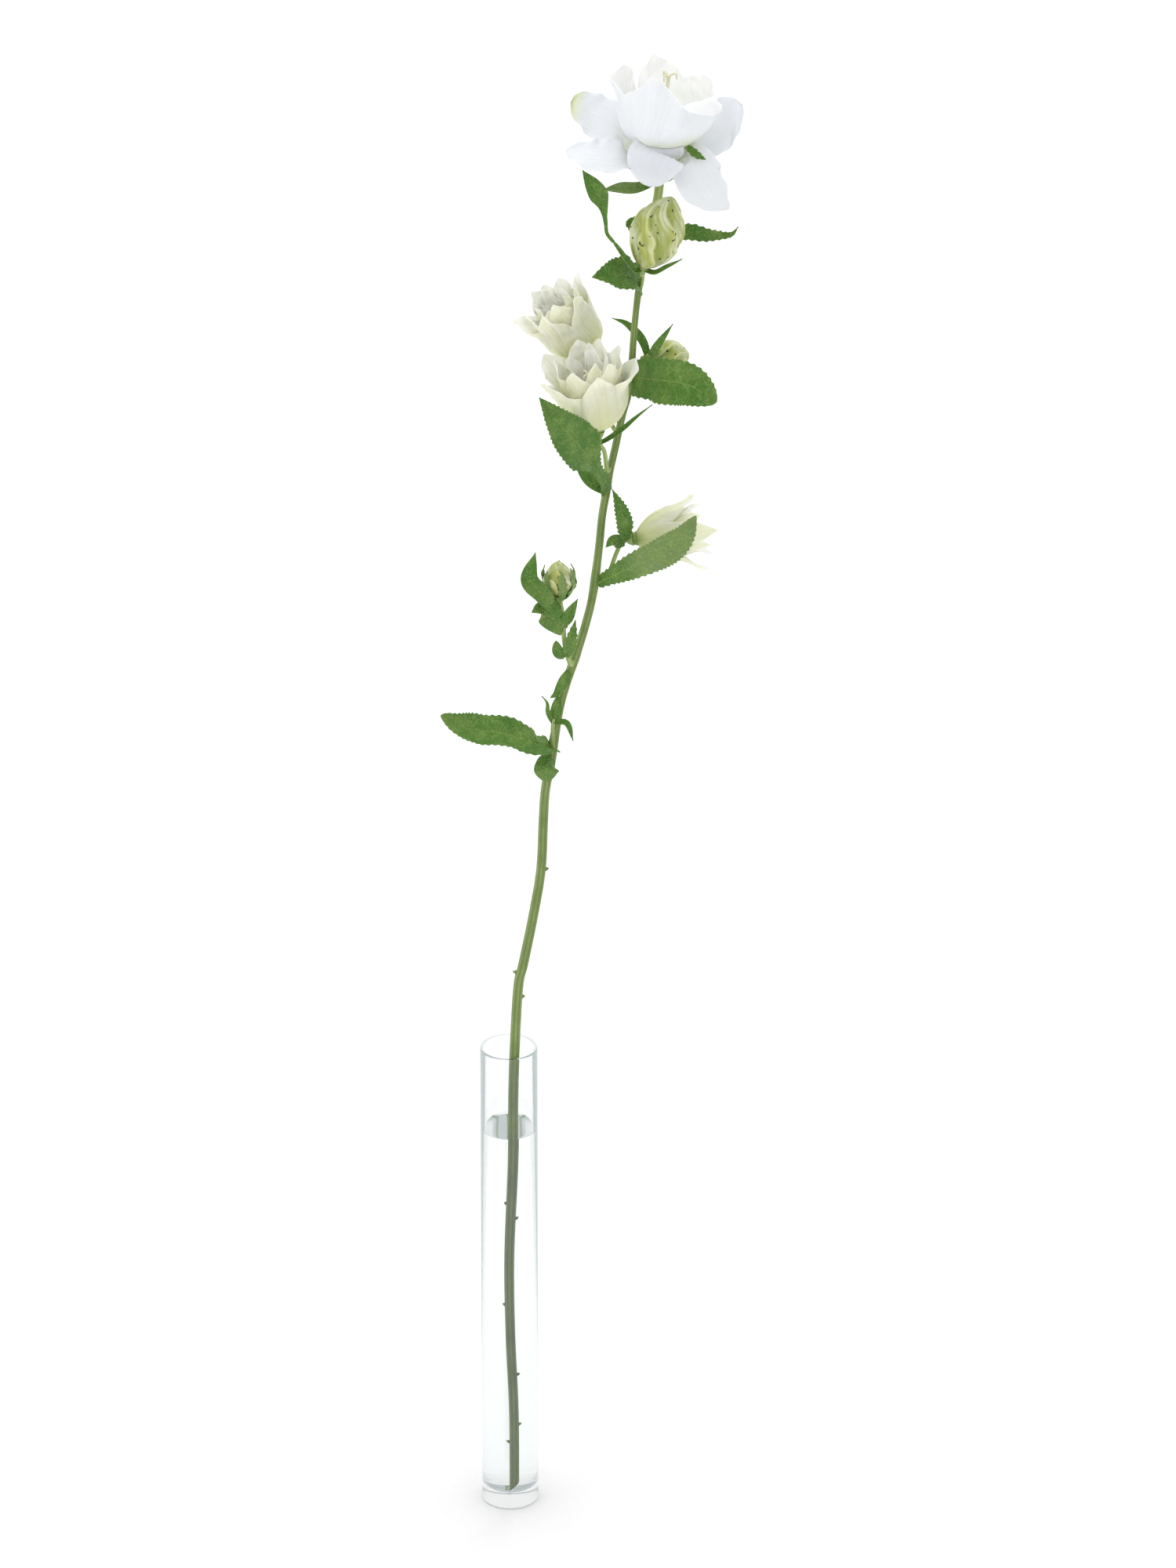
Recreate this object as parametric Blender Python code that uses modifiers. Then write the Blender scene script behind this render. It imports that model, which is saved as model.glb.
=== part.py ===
"""A double white bellflower: one cut stem that stands in a slim glass cylinder vase of water.

Metres, +Z up. The origin is the centre of the vase's flat underside, and the picture's side is -Y.
"""

import math
from typing import NamedTuple

import bmesh
import bpy
from mathutils import Vector

# Driving dimensions of the vase and its water
VASE_HEIGHT = 0.305
VASE_RADIUS = 0.017
VASE_WALL = 0.0018
VASE_FLOOR = 0.0095
VASE_HEEL = 0.0015
VASE_FILLET = 0.006
VASE_STEPS = 40
WATER_LEVEL = 0.2515
WATER_STEPS = 32

# Driving dimensions of the plant
TOUCH_GAP = 0.0003
ROOT_GAP = 0.0006
STEM_RADIUS = 0.0031
STEM_TOP_RADIUS = 0.0016
STEM_RIBS = 7
RIB_SHARE = 0.04
NODE_SWELL = 0.12
NODE_REACH = 0.008
STEM_SPANS = 40
FOOT_CUT_SLOPE = math.radians(48)
BLADE_THICKNESS = 0.0008
BLADE_TIP = 0.0005
TOOTH_SHARE = 0.1
CORE_FOOT_RADIUS = 0.0036
CLAW_REACH = 0.012
CORE_TOP_RADIUS = 0.0052
CUP_HEIGHT = 0.004
CUP_FOOT_RADIUS = 0.0016
CUP_TOP_RADIUS = 0.004
LOBES = 5

# The stem's centre line from its foot to the top bloom
STEM_LINE = (
    (0.0022, -0.0100, 0.0040),
    (0.0021, -0.0102, 0.0640),
    (0.0004, -0.0104, 0.1180),
    (0.0000, -0.0106, 0.1710),
    (0.0022, -0.0107, 0.2350),
    (0.0026, -0.0110, 0.2770),
    (0.0036, -0.0112, 0.3090),
    (0.0058, -0.0115, 0.3500),
    (0.0090, -0.0112, 0.3662),
    (0.0146, -0.0105, 0.3958),
    (0.0193, -0.0100, 0.4264),
    (0.0207, -0.0090, 0.4566),
    (0.0219, -0.0085, 0.4767),
    (0.0250, -0.0075, 0.4960),
    (0.0281, -0.0060, 0.5161),
    (0.0306, -0.0050, 0.5308),
    (0.0345, -0.0040, 0.5455),
    (0.0407, -0.0020, 0.5647),
    (0.0450, -0.0010, 0.5793),
    (0.0495, 0.0005, 0.5987),
    (0.0531, 0.0020, 0.6280),
    (0.0549, 0.0025, 0.6477),
    (0.0572, 0.0030, 0.6624),
    (0.0590, 0.0035, 0.6746),
    (0.0621, 0.0040, 0.6892),
    (0.0666, 0.0050, 0.7110),
    (0.0698, 0.0055, 0.7231),
    (0.0715, 0.0060, 0.7352),
    (0.0733, 0.0060, 0.7647),
    (0.0759, 0.0070, 0.7897),
    (0.0786, 0.0120, 0.8012),
    (0.0813, 0.0160, 0.8141),
    (0.0844, 0.0170, 0.8307),
    (0.0859, 0.0151, 0.8390),
)
LEAF_NODES = (0.4930, 0.5040, 0.5590, 0.6090, 0.6670, 0.7390, 0.7900)

# Where a leaf or a shoot was cut off: height, direction in degrees from +X, and how far it stands out
STUBS = (
    (0.4270, 0, 0.0016),
    (0.3600, 180, 0.0018),
    (0.3440, 0, 0.0014),
    (0.2060, 170, 0.0007),
    (0.1960, 10, 0.0010),
    (0.1380, 185, 0.0007),
    (0.0900, 5, 0.0009),
    (0.0560, 0, 0.0010),
    (0.0440, 175, 0.0010),
)
STUB_LENGTH = 0.0028
STUB_WIDTH = 0.0012

# Colours, as sRGB hex
GLASS = "E8EEEE"
WATER = "DDE9E6"
STEM_GREEN = "8FA05E"
LEAF_GREEN = "4E7A2C"
PALE_GREEN = "8FA56B"
PETAL_WHITE = "ECEDF2"
PETAL_CREAM = "E6E6CF"
BUD_GREEN = "BFC06A"
STYLE_CREAM = "C9C58A"


class Blade(NamedTuple):
    """A leaf, bract or petal: its midrib from foot to tip, and how its blade lies on it."""

    spine: tuple
    half_width: float
    facing: tuple
    widest: float = 0.42
    foot: float = 0.3
    neck: float = 1.0
    bluntness: float = 1.0
    fold: float = 0.0
    roll: float = 0.0
    twist: float = 0.0
    wave: float = 0.0
    waves: float = 2.5
    toothed: bool = False
    tip_facing: tuple = ()
    spans: int = 6
    halves: int = 2


class Leaf(NamedTuple):
    """A blade that grows from the stem at a height."""

    name: str
    height: float
    blade: Blade


class Bell(NamedTuple):
    """One lobed layer of a bloom, and each lobe's tip as (reach, radius, droop)."""

    radius: float
    sinus: float
    turn: float
    tips: tuple
    lift: float = 0.0
    rounding: float = 0.4
    columns: int = 20
    spans: int = 5


class Bloom(NamedTuple):
    """The bells inside one another, the saucer of petals under them, and the stalk that carries them."""

    name: str
    base: tuple
    mouth: tuple
    colour: str
    bells: tuple
    petals: tuple
    stalk: tuple
    bracts: tuple
    core_height: float = 0.005
    style_tip: tuple = ()
    stalk_radius: float = 0.0013


class Bud(NamedTuple):
    """A closed bud with pleated petals, and the stalk and sepals that carry it."""

    name: str
    base: tuple
    tip: tuple
    radius: float
    stalk: tuple
    bracts: tuple


LEAVES = (
    Leaf("leaf_top_left", 0.7810, Blade(
        ((0.0682, -0.0012, 0.7945), (0.0645, -0.0130, 0.8095), (0.0567, -0.0240, 0.8140),
         (0.0490, -0.0300, 0.8135)),
        0.0105, (0.1, -0.75, 0.65), widest=0.5, foot=0.28, fold=8, wave=0.0012, toothed=True, spans=14)),
    Leaf("leaf_upper_right", 0.7350, Blade(
        ((0.0894, -0.0140, 0.7416), (0.1050, -0.0220, 0.7418), (0.1203, -0.0250, 0.7328)),
        0.0135, (0.05, -0.95, 0.3), widest=0.55, foot=0.5, bluntness=0.6, fold=8, wave=0.0016, toothed=True,
        spans=18)),
    Leaf("leaf_middle_left", 0.6640, Blade(
        ((0.0500, -0.0150, 0.6832), (0.0405, -0.0340, 0.7068), (0.0298, -0.0455, 0.7279),
         (0.0191, -0.0510, 0.7473)),
        0.0138, (0.15, -0.85, 0.5), widest=0.45, foot=0.3, neck=1.5, bluntness=0.9, fold=8, wave=0.0014,
        toothed=True, spans=18)),
    Leaf("leaf_middle_small", 0.6640, Blade(
        ((0.0491, 0.0040, 0.6699), (0.0400, 0.0090, 0.6760)),
        0.0045, (0.0, -0.6, 0.8), foot=0.5, fold=10)),
    Leaf("leaf_lower_right", 0.6070, Blade(
        ((0.0694, -0.0160, 0.6180), (0.0890, -0.0290, 0.6350), (0.1025, -0.0330, 0.6480),
         (0.1089, -0.0260, 0.6618)),
        0.0098, (-0.1, -0.9, 0.3), widest=0.6, foot=0.5, bluntness=0.7, fold=12, wave=0.0014, toothed=True,
        tip_facing=(-0.4, -0.9, 0.1), spans=16)),
    Leaf("leaf_lower_left", 0.5060, Blade(
        ((0.0012, -0.0160, 0.5093), (-0.0169, -0.0240, 0.5228), (-0.0390, -0.0300, 0.5388)),
        0.0118, (0.0, -0.5, 0.9), widest=0.62, foot=0.6, bluntness=0.6, fold=14, wave=0.0012, toothed=True,
        spans=18)),
    Leaf("leaf_clasping", 0.5000, Blade(
        ((0.0236, -0.0170, 0.4992), (0.0226, -0.0200, 0.4950), (0.0226, -0.0180, 0.4880)),
        0.0078, (0.0, -1.0, 0.2), widest=0.6, foot=0.5, bluntness=0.5, fold=-20)),
)

BLOOMS = (
    Bloom(
        "bloom_top", (0.0878, 0.0110, 0.8640), (0.0872, 0.0110, 0.9140), PETAL_WHITE,
        (
            Bell(0.0262, 0.80, 23, (
                (0.88, 0.0345, 0.0), (1.08, 0.0300, 0.0), (1.06, 0.0230, 0.0), (1.10, 0.0240, 0.0),
                (1.10, 0.0410, 0.0150)), 0.0045, columns=30, spans=6),
        ),
        (
            Blade(((0.0690, -0.0080, 0.8761), (0.0512, -0.0120, 0.8792), (0.0344, -0.0080, 0.8814)),
                  0.0150, (0.0, -0.3, 0.95), widest=0.62, foot=0.2, neck=1.3, bluntness=0.6, roll=15,
                  wave=0.001),
            Blade(((0.0647, 0.0250, 0.8806), (0.0490, 0.0280, 0.8890), (0.0365, 0.0260, 0.9009)),
                  0.0155, (0.3, -0.6, 0.75), widest=0.6, foot=0.2, bluntness=0.35, roll=20, wave=0.001),
            Blade(((0.0868, -0.0130, 0.8780), (0.0840, -0.0235, 0.8780), (0.0818, -0.0270, 0.8673)),
                  0.0165, (0.0, -0.7, 0.7), widest=0.65, foot=0.2, bluntness=0.5, roll=-12, wave=0.001),
            Blade(((0.1060, -0.0080, 0.8750), (0.1126, -0.0160, 0.8655), (0.1260, -0.0160, 0.8501)),
                  0.0160, (0.4, -0.7, 0.6), widest=0.65, foot=0.2, bluntness=0.5, roll=-15, wave=0.001),
            Blade(((0.1093, 0.0240, 0.8730), (0.1240, 0.0260, 0.8830), (0.1345, 0.0240, 0.8960)),
                  0.0175, (-0.2, -0.55, 0.8), widest=0.6, foot=0.2, bluntness=0.4, roll=20, wave=0.001),
        ),
        ((0.0860, 0.0149, 0.8397), (0.0868, 0.0130, 0.8460)),
        (
            Blade(((0.0875, 0.0115, 0.8545), (0.0745, 0.0040, 0.8535), (0.0646, -0.0020, 0.8557),
                   (0.0553, -0.0060, 0.8565)), 0.0036, (0.0, -0.8, 0.6), widest=0.6, fold=15, halves=1),
            Blade(((0.0875, 0.0115, 0.8560), (0.0923, 0.0040, 0.8585), (0.0980, 0.0020, 0.8627)),
                  0.0015, (0.0, -0.8, 0.6), widest=0.5, foot=0.6, fold=20, halves=1),
        ),
        0.0075,
        (0.0922, 0.0075, 0.9185),
        0.0026,
    ),
    Bloom(
        "bloom_upper_left", (0.0468, 0.0220, 0.7418), (0.0270, 0.0160, 0.7773), PETAL_CREAM,
        (
            Bell(0.0168, 0.80, 180, (
                (1.02, 0.0255, 0.0), (1.12, 0.0180, 0.0), (1.10, 0.0190, 0.0), (1.14, 0.0245, 0.0),
                (1.06, 0.0185, 0.0)), rounding=0.5),
            Bell(0.0120, 0.84, 216, (
                (0.98, 0.0160, 0.0), (1.00, 0.0165, 0.0), (1.08, 0.0145, 0.0), (1.04, 0.0155, 0.0),
                (1.06, 0.0155, 0.0)), 0.0022, spans=4),
        ),
        (),
        ((0.7012, 0.0040), (0.0567, 0.0180, 0.7120), (0.0500, 0.0240, 0.7272)),
        (),
    ),
    Bloom(
        "bloom_middle", (0.0526, -0.0140, 0.7100), (0.0459, -0.0160, 0.7531), PETAL_CREAM,
        (
            Bell(0.0182, 0.76, 0, (
                (0.95, 0.0300, 0.0), (1.10, 0.0205, 0.0), (0.98, 0.0320, 0.0), (0.98, 0.0310, 0.0),
                (1.14, 0.0240, 0.0)), rounding=0.45),
            Bell(0.0128, 0.84, 36, (
                (0.96, 0.0210, 0.0), (1.06, 0.0170, 0.0), (0.98, 0.0190, 0.0), (1.02, 0.0160, 0.0),
                (1.02, 0.0180, 0.0)), 0.0022, spans=4),
        ),
        (),
        ((0.6790, 0.0030), (0.0562, -0.0040, 0.6920), (0.0535, -0.0105, 0.7000)),
        (
            Blade(((0.0530, -0.0120, 0.7010), (0.0590, -0.0130, 0.7050), (0.0670, -0.0150, 0.7120),
                   (0.0760, -0.0140, 0.7200), (0.0836, -0.0120, 0.7255)),
                  0.0016, (-0.3, -0.8, 0.6), foot=0.7, widest=0.3, fold=15, spans=8, halves=1),
        ),
    ),
    Bloom(
        "bloom_lower_right", (0.0731, 0.0040, 0.6335), (0.1110, 0.0020, 0.6400), PETAL_CREAM,
        (
            Bell(0.0140, 0.84, 0, (
                (1.00, 0.0220, 0.0), (1.32, 0.0170, 0.0), (1.10, 0.0240, 0.0), (1.02, 0.0180, 0.0),
                (0.90, 0.0190, 0.0)), rounding=0.6),
            Bell(0.0100, 0.88, 36, (
                (1.04, 0.0145, 0.0), (1.12, 0.0140, 0.0), (1.06, 0.0145, 0.0), (0.98, 0.0145, 0.0),
                (0.98, 0.0145, 0.0)), 0.0022, rounding=0.6, spans=4),
        ),
        (),
        ((0.6090, 0.0040), (0.0600, 0.0030, 0.6150), (0.0630, 0.0040, 0.6240)),
        (
            Blade(((0.0690, 0.0030, 0.6320), (0.0675, -0.0040, 0.6482), (0.0649, -0.0060, 0.6591),
                   (0.0608, -0.0060, 0.6695)), 0.0050, (0.2, -0.9, 0.3), foot=0.4, fold=12, toothed=True,
                  spans=8, halves=1),
            Blade(((0.0680, 0.0030, 0.6310), (0.0613, -0.0040, 0.6358), (0.0570, -0.0080, 0.6336)),
                  0.0040, (0.0, -0.9, 0.4), foot=0.4, fold=10, halves=1),
        ),
    ),
)

BUDS = (
    Bud(
        "bud_top", (0.0790, -0.0060, 0.8099), (0.0942, -0.0120, 0.8542), 0.0148,
        ((0.7930, 0.0025), (0.0779, -0.0035, 0.8020)),
        (
            Blade(((0.0783, -0.0057, 0.8075), (0.0728, -0.0120, 0.8090), (0.0680, -0.0190, 0.8190),
                   (0.0606, -0.0240, 0.8328)),
                  0.0022, (0.2, -0.6, 0.8), foot=0.6, fold=25, bluntness=0.4, halves=1),
            Blade(((0.0612, -0.0236, 0.8318), (0.0575, -0.0250, 0.8380), (0.0566, -0.0240, 0.8458),
                   (0.0535, -0.0220, 0.8584), (0.0437, -0.0160, 0.8727)),
                  0.0056, (0.3, -0.9, 0.1), foot=0.18, neck=2.5, widest=0.68, fold=8, wave=0.0006, spans=12),
            Blade(((0.0790, -0.0060, 0.8070), (0.0850, -0.0120, 0.8080), (0.0925, -0.0190, 0.8150),
                   (0.1003, -0.0220, 0.8205)),
                  0.0018, (0.0, -0.6, 0.8), foot=0.8, fold=10, halves=1),
        ),
    ),
    Bud(
        "bud_right", (0.0841, 0.0060, 0.7470), (0.1047, 0.0020, 0.7503), 0.0095,
        ((0.7400, 0.0030), (0.0785, 0.0080, 0.7425)),
        (
            Blade(((0.0815, 0.0065, 0.7455), (0.0775, 0.0110, 0.7560), (0.0690, 0.0150, 0.7640),
                   (0.0607, 0.0160, 0.7673)), 0.0027, (0.3, -0.8, 0.5), foot=0.6, fold=15, halves=1),
            Blade(((0.0820, 0.0060, 0.7470), (0.0850, -0.0040, 0.7560), (0.0900, -0.0080, 0.7660),
                   (0.0952, -0.0080, 0.7741)), 0.0027, (-0.3, -0.8, 0.5), foot=0.6, fold=15, halves=1),
        ),
    ),
    Bud(
        "bud_left", (0.0305, -0.0200, 0.6090), (0.0292, -0.0200, 0.6300), 0.0085,
        (),
        (),
    ),
)

# The leafy shoots: the path of each one's stalk, and its blades
SIDE_BRANCH_LINE = ((0.5590, 0.0030), (0.0332, -0.0140, 0.5754), (0.0323, -0.0180, 0.5924),
                    (0.0306, -0.0200, 0.6046))
SIDE_BRANCH_BLADES = (
    Blade(((0.0306, -0.0200, 0.6030), (0.0255, -0.0275, 0.6065), (0.0200, -0.0315, 0.6150),
           (0.0130, -0.0325, 0.6250), (0.0166, -0.0280, 0.6395)),
          0.0055, (0.2, -0.9, 0.4), foot=0.5, widest=0.6, fold=10, wave=0.0006),
    Blade(((0.0325, -0.0175, 0.5850), (0.0251, -0.0260, 0.5971), (0.0197, -0.0300, 0.6040),
           (0.0143, -0.0340, 0.6044)), 0.0070, (-0.2, -0.7, 0.6), foot=0.5, widest=0.6, fold=14, wave=0.0008,
          spans=8),
    Blade(((0.0323, -0.0178, 0.5880), (0.0364, -0.0230, 0.5992), (0.0409, -0.0220, 0.6072)),
          0.0036, (0.2, -0.9, 0.3), foot=0.5, fold=15),
    Blade(((0.0336, -0.0110, 0.5650), (0.0364, -0.0180, 0.5764), (0.0396, -0.0190, 0.5924)),
          0.0038, (0.1, -0.9, 0.3), foot=0.5, fold=15, toothed=True, spans=8),
    Blade(((0.0334, -0.0120, 0.5660), (0.0295, -0.0160, 0.5710), (0.0282, -0.0165, 0.5779)),
          0.0035, (0.0, -0.9, 0.3), foot=0.5, bluntness=0.6, fold=10),
)
SIDE_SHOOT_LINE = ((0.5070, 0.0030), (0.0263, -0.0145, 0.5200), (0.0268, -0.0145, 0.5270))
SIDE_SHOOT_BLADES = (
    Blade(((0.0268, -0.0145, 0.5255), (0.0283, -0.0145, 0.5326), (0.0296, -0.0105, 0.5395)),
          0.0034, (0.0, -1.0, 0.2), foot=0.7, bluntness=0.5, fold=-20),
    Blade(((0.0266, -0.0145, 0.5240), (0.0236, -0.0160, 0.5316), (0.0231, -0.0160, 0.5377),
           (0.0200, -0.0160, 0.5422)), 0.0014, (0.0, -1.0, 0.2), foot=0.8, widest=0.3, fold=10),
    Blade(((0.0268, -0.0145, 0.5250), (0.0345, -0.0180, 0.5255), (0.0382, -0.0210, 0.5158)),
          0.0019, (0.3, -0.7, 0.6), foot=0.6, fold=15),
)
SIDE_BRACT = Leaf("leaf_side_bract", 0.5530, Blade(
    ((0.0327, -0.0140, 0.5508), (0.0286, -0.0145, 0.5432), (0.0250, -0.0135, 0.5400)),
    0.0032, (-0.2, -1.0, 0.1), foot=0.7, bluntness=0.7, fold=-15))
BACK_LEAVES = (
    Leaf("leaf_top_right", 0.8080, Blade(
        ((0.0916, 0.0210, 0.8143), (0.1028, 0.0170, 0.8199), (0.1162, 0.0110, 0.8210),
         (0.1278, 0.0080, 0.8224), (0.1326, 0.0080, 0.8277)),
        0.0050, (0.0, -0.7, 0.7), foot=0.4, widest=0.45, fold=10, wave=0.001, toothed=True, spans=12)),
    Leaf("leaf_top_back", 0.8170, Blade(
        ((0.0745, 0.0150, 0.8255), (0.0687, 0.0110, 0.8297)),
        0.0055, (-0.2, -0.9, 0.3), foot=0.5, bluntness=0.4, fold=8, toothed=True)),
)

# The bells: how pointed their lobes are, and where their sheets begin in the core
LOBE_POINT = 1.5
BELL_START = 0.012

BUD_AROUND = 20
BUD_RINGS = 10
BUD_PLEAT = 0.07
BUD_NARROWING = 0.3
BUD_POINT = 0.08
BUD_FLAT = 0.93

STYLE_RADIUS = 0.0009
STYLE_SHARE = 0.78
STIGMA_LOBES = 3
STIGMA_REACH = 0.0045


def linear_colour(text):
    """A linear RGBA colour from an sRGB hex string."""
    shares = [int(text[i:i + 2], 16) / 255 for i in (0, 2, 4)]
    linear = [s / 12.92 if s <= 0.04045 else ((s + 0.055) / 1.055) ** 2.4 for s in shares]
    return (*linear, 1.0)


def finish_material(name, colour, roughness, transmission=0.0):
    """One Principled material for each finish, made once."""
    found = bpy.data.materials.get(name)
    if found:
        return found
    material = bpy.data.materials.new(name)
    material.use_nodes = True
    shader = material.node_tree.nodes["Principled BSDF"]
    shader.inputs["Base Color"].default_value = linear_colour(colour)
    shader.inputs["Roughness"].default_value = roughness
    shader.inputs["Metallic"].default_value = 0.0
    shader.inputs["Transmission Weight"].default_value = transmission
    return material


def leaf_material():
    return finish_material("leaf", LEAF_GREEN, 0.6)


def stem_material():
    return finish_material("stem", STEM_GREEN, 0.55)


def clear_scene():
    for item in list(bpy.data.objects):
        bpy.data.objects.remove(item, do_unlink=True)


def add_object(name, data):
    """A new object in the plant's collection."""
    item = bpy.data.objects.new(name, data)
    bpy.data.collections["bellflower in vase"].objects.link(item)
    return item


def dress(item, material):
    """Give an object one material and smooth shading with its sharp edges kept."""
    item.data.materials.clear()
    item.data.materials.append(material)
    item.data.shade_smooth()
    item.data.set_sharp_from_angle(angle=math.radians(40))
    return item


def smooth_path(points, count):
    """Points on a smooth curve through the given ones, count spans long."""
    knots = [Vector(p) for p in points]
    knots = [2 * knots[0] - knots[1], *knots, 2 * knots[-1] - knots[-2]]
    path = []
    for i in range(count + 1):
        place = i / count * (len(points) - 1)
        span = min(int(place), len(points) - 2)
        t = place - span
        a, b, c, d = knots[span:span + 4]
        linear = (c - a) * t
        square = (2 * a - 5 * b + 4 * c - d) * t * t
        cube = (3 * b - a - 3 * c + d) * t ** 3
        path.append((2 * b + linear + square + cube) / 2)
    return path


def turned(name, outline, steps):
    """A solid turned round Z from its outline, which runs from the axis and back to it."""
    mesh = bpy.data.meshes.new(name)
    corners = [(radius, 0.0, height) for radius, height in outline]
    mesh.from_pydata(corners, [(i, i + 1) for i in range(len(corners) - 1)], [])
    item = add_object(name, mesh)
    screw = item.modifiers.new("turn", "SCREW")
    screw.angle = 2 * math.pi
    screw.steps = steps
    screw.render_steps = steps
    screw.use_merge_vertices = True
    screw.merge_threshold = 0.00001
    return item


def solid_mesh(item):
    """Replace an object's mesh or curve by the mesh its modifiers give, with doubles welded."""
    depsgraph = bpy.context.evaluated_depsgraph_get()
    mesh = bpy.data.meshes.new_from_object(item.evaluated_get(depsgraph))
    work = bmesh.new()
    work.from_mesh(mesh)
    bmesh.ops.remove_doubles(work, verts=work.verts, dist=0.000001)
    work.to_mesh(mesh)
    work.free()
    name = item.name
    matrix = item.matrix_world.copy()
    bpy.data.objects.remove(item, do_unlink=True)
    result = add_object(name, mesh)
    result.matrix_world = matrix
    return result


def fuse(first, others):
    """One Boolean union joins the other solids to the first."""
    group = bpy.data.collections.new("to join")
    bpy.context.scene.collection.children.link(group)
    for item in others:
        for home in list(item.users_collection):
            home.objects.unlink(item)
        group.objects.link(item)
    join = first.modifiers.new("join", "BOOLEAN")
    join.operation = "UNION"
    join.operand_type = "COLLECTION"
    join.collection = group
    join.solver = "MANIFOLD"
    result = solid_mesh(first)
    for item in list(group.objects):
        bpy.data.objects.remove(item, do_unlink=True)
    bpy.data.collections.remove(group)
    return result


def tube(name, path, radii, fineness=1):
    """A round tube along a path, with its ends closed."""
    curve = bpy.data.curves.new(name, "CURVE")
    curve.dimensions = "3D"
    curve.bevel_depth = max(radii)
    curve.bevel_resolution = fineness
    curve.use_fill_caps = True
    line = curve.splines.new("POLY")
    line.points.add(len(path) - 1)
    for point, place, radius in zip(line.points, path, radii):
        point.co = (*place, 1.0)
        point.radius = radius / max(radii)
    return solid_mesh(add_object(name, curve))


# The stem as a whole, which everything else takes its root from


def stem_path():
    return smooth_path(STEM_LINE, STEM_SPANS)


def stem_radius(height):
    """The stem thins towards the top and swells at each leaf node."""
    share = height / STEM_LINE[-1][2]
    radius = STEM_RADIUS + (STEM_TOP_RADIUS - STEM_RADIUS) * share ** 2.2
    swell = sum(math.exp(-((height - node) / NODE_REACH) ** 2) for node in LEAF_NODES)
    return radius * (1 + NODE_SWELL * swell)


def stem_centre(height):
    """The stem's centre at a height."""
    path = stem_path()
    for low, high in zip(path, path[1:]):
        if low.z <= height <= high.z:
            return low.lerp(high, (height - low.z) / (high.z - low.z))
    return path[-1]


def build_clearance():
    """A hidden copy of the stem, larger by the gap that everything on it keeps."""
    path = stem_path()
    radii = [stem_radius(point.z) * (1 + RIB_SHARE) + TOUCH_GAP for point in path]
    hide_cutter(tube("stem_clearance", path, radii, 6))


def hide_cutter(item):
    """Put a cutter out of the way: not rendered, shown as wire, in its own collection."""
    item.hide_render = True
    item.display_type = "WIRE"
    for home in list(item.users_collection):
        home.objects.unlink(item)
    bpy.data.collections["cutters"].objects.link(item)


def clear_of_stem(item):
    """Cut away what would run into the stem."""
    cut = item.modifiers.new("clear of stem", "BOOLEAN")
    cut.operation = "DIFFERENCE"
    cut.solver = "MANIFOLD"
    cut.object = bpy.data.objects["stem_clearance"]
    return item


def root_on_stem(height, towards):
    """A point just off the stem's surface, on the side that faces a target, and the way out."""
    centre = stem_centre(height)
    out = Vector(towards) - centre
    out.z = 0
    out.normalize()
    crest = stem_radius(height) * (1 + RIB_SHARE)
    return centre + out * (crest + ROOT_GAP), out


def stalk_path(line, spans):
    """A side stalk's path: straight out of the stem, then through its own points."""
    if len(line[0]) == 3:
        return smooth_path(line, spans)
    (height, straight), *rest = line
    root, out = root_on_stem(height, rest[0])
    return smooth_path([root, root + out * straight, *rest], spans)


# Blades: leaves, bracts and petals


def width_share(place, blade):
    """A blade's half width along its midrib, as a share of its widest."""
    if place < blade.widest:
        rise = math.sin(0.5 * math.pi * (place / blade.widest) ** blade.neck)
        return blade.foot + (1 - blade.foot) * rise
    fall = (place - blade.widest) / (1 - blade.widest)
    return math.cos(0.5 * math.pi * fall) ** blade.bluntness


def blade_frames(blade):
    """For each span: the midrib's point, its sideways and upward directions, and its place along."""
    path = smooth_path(blade.spine, blade.spans)
    lengths = [0.0]
    for a, b in zip(path, path[1:]):
        lengths.append(lengths[-1] + (b - a).length)
    frames = []
    for i, point in enumerate(path):
        along = (path[min(i + 1, blade.spans)] - path[max(i - 1, 0)]).normalized()
        place = lengths[i] / lengths[-1]
        up = Vector(blade.facing).lerp(Vector(blade.tip_facing or blade.facing), place)
        up = (up - up.dot(along) * along).normalized()
        side = along.cross(up)
        turn = math.radians(blade.twist) * place
        side, up = side * math.cos(turn) + up * math.sin(turn), up * math.cos(turn) - side * math.sin(turn)
        frames.append((point, side, up, place))
    return frames


def blade_point(blade, frame, step, across):
    """One point of a blade's sheet: across runs from -1 to 1 over its width."""
    point, side, up, place = frame
    reach = max(blade.half_width * width_share(place, blade), BLADE_TIP)
    edge = abs(across)
    if blade.toothed and edge == 1 and reach > BLADE_TIP:
        reach *= 1 + TOOTH_SHARE * (0.5 if step % 2 else -0.5)
    fold = math.radians(blade.fold)
    roll = math.radians(blade.roll)
    out, lift = across * reach, 0.0
    if roll:
        out = math.sin(across * roll) / roll * reach
        lift = (1 - math.cos(across * roll)) / roll * reach
    ripple = math.sin(2 * math.pi * blade.waves * place + (1 if across > 0 else 0))
    lift += blade.wave * edge ** 2 * ripple * math.sin(math.pi * place)
    lift += abs(out) * math.sin(fold)
    return point + side * out * math.cos(fold) + up * lift


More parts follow.
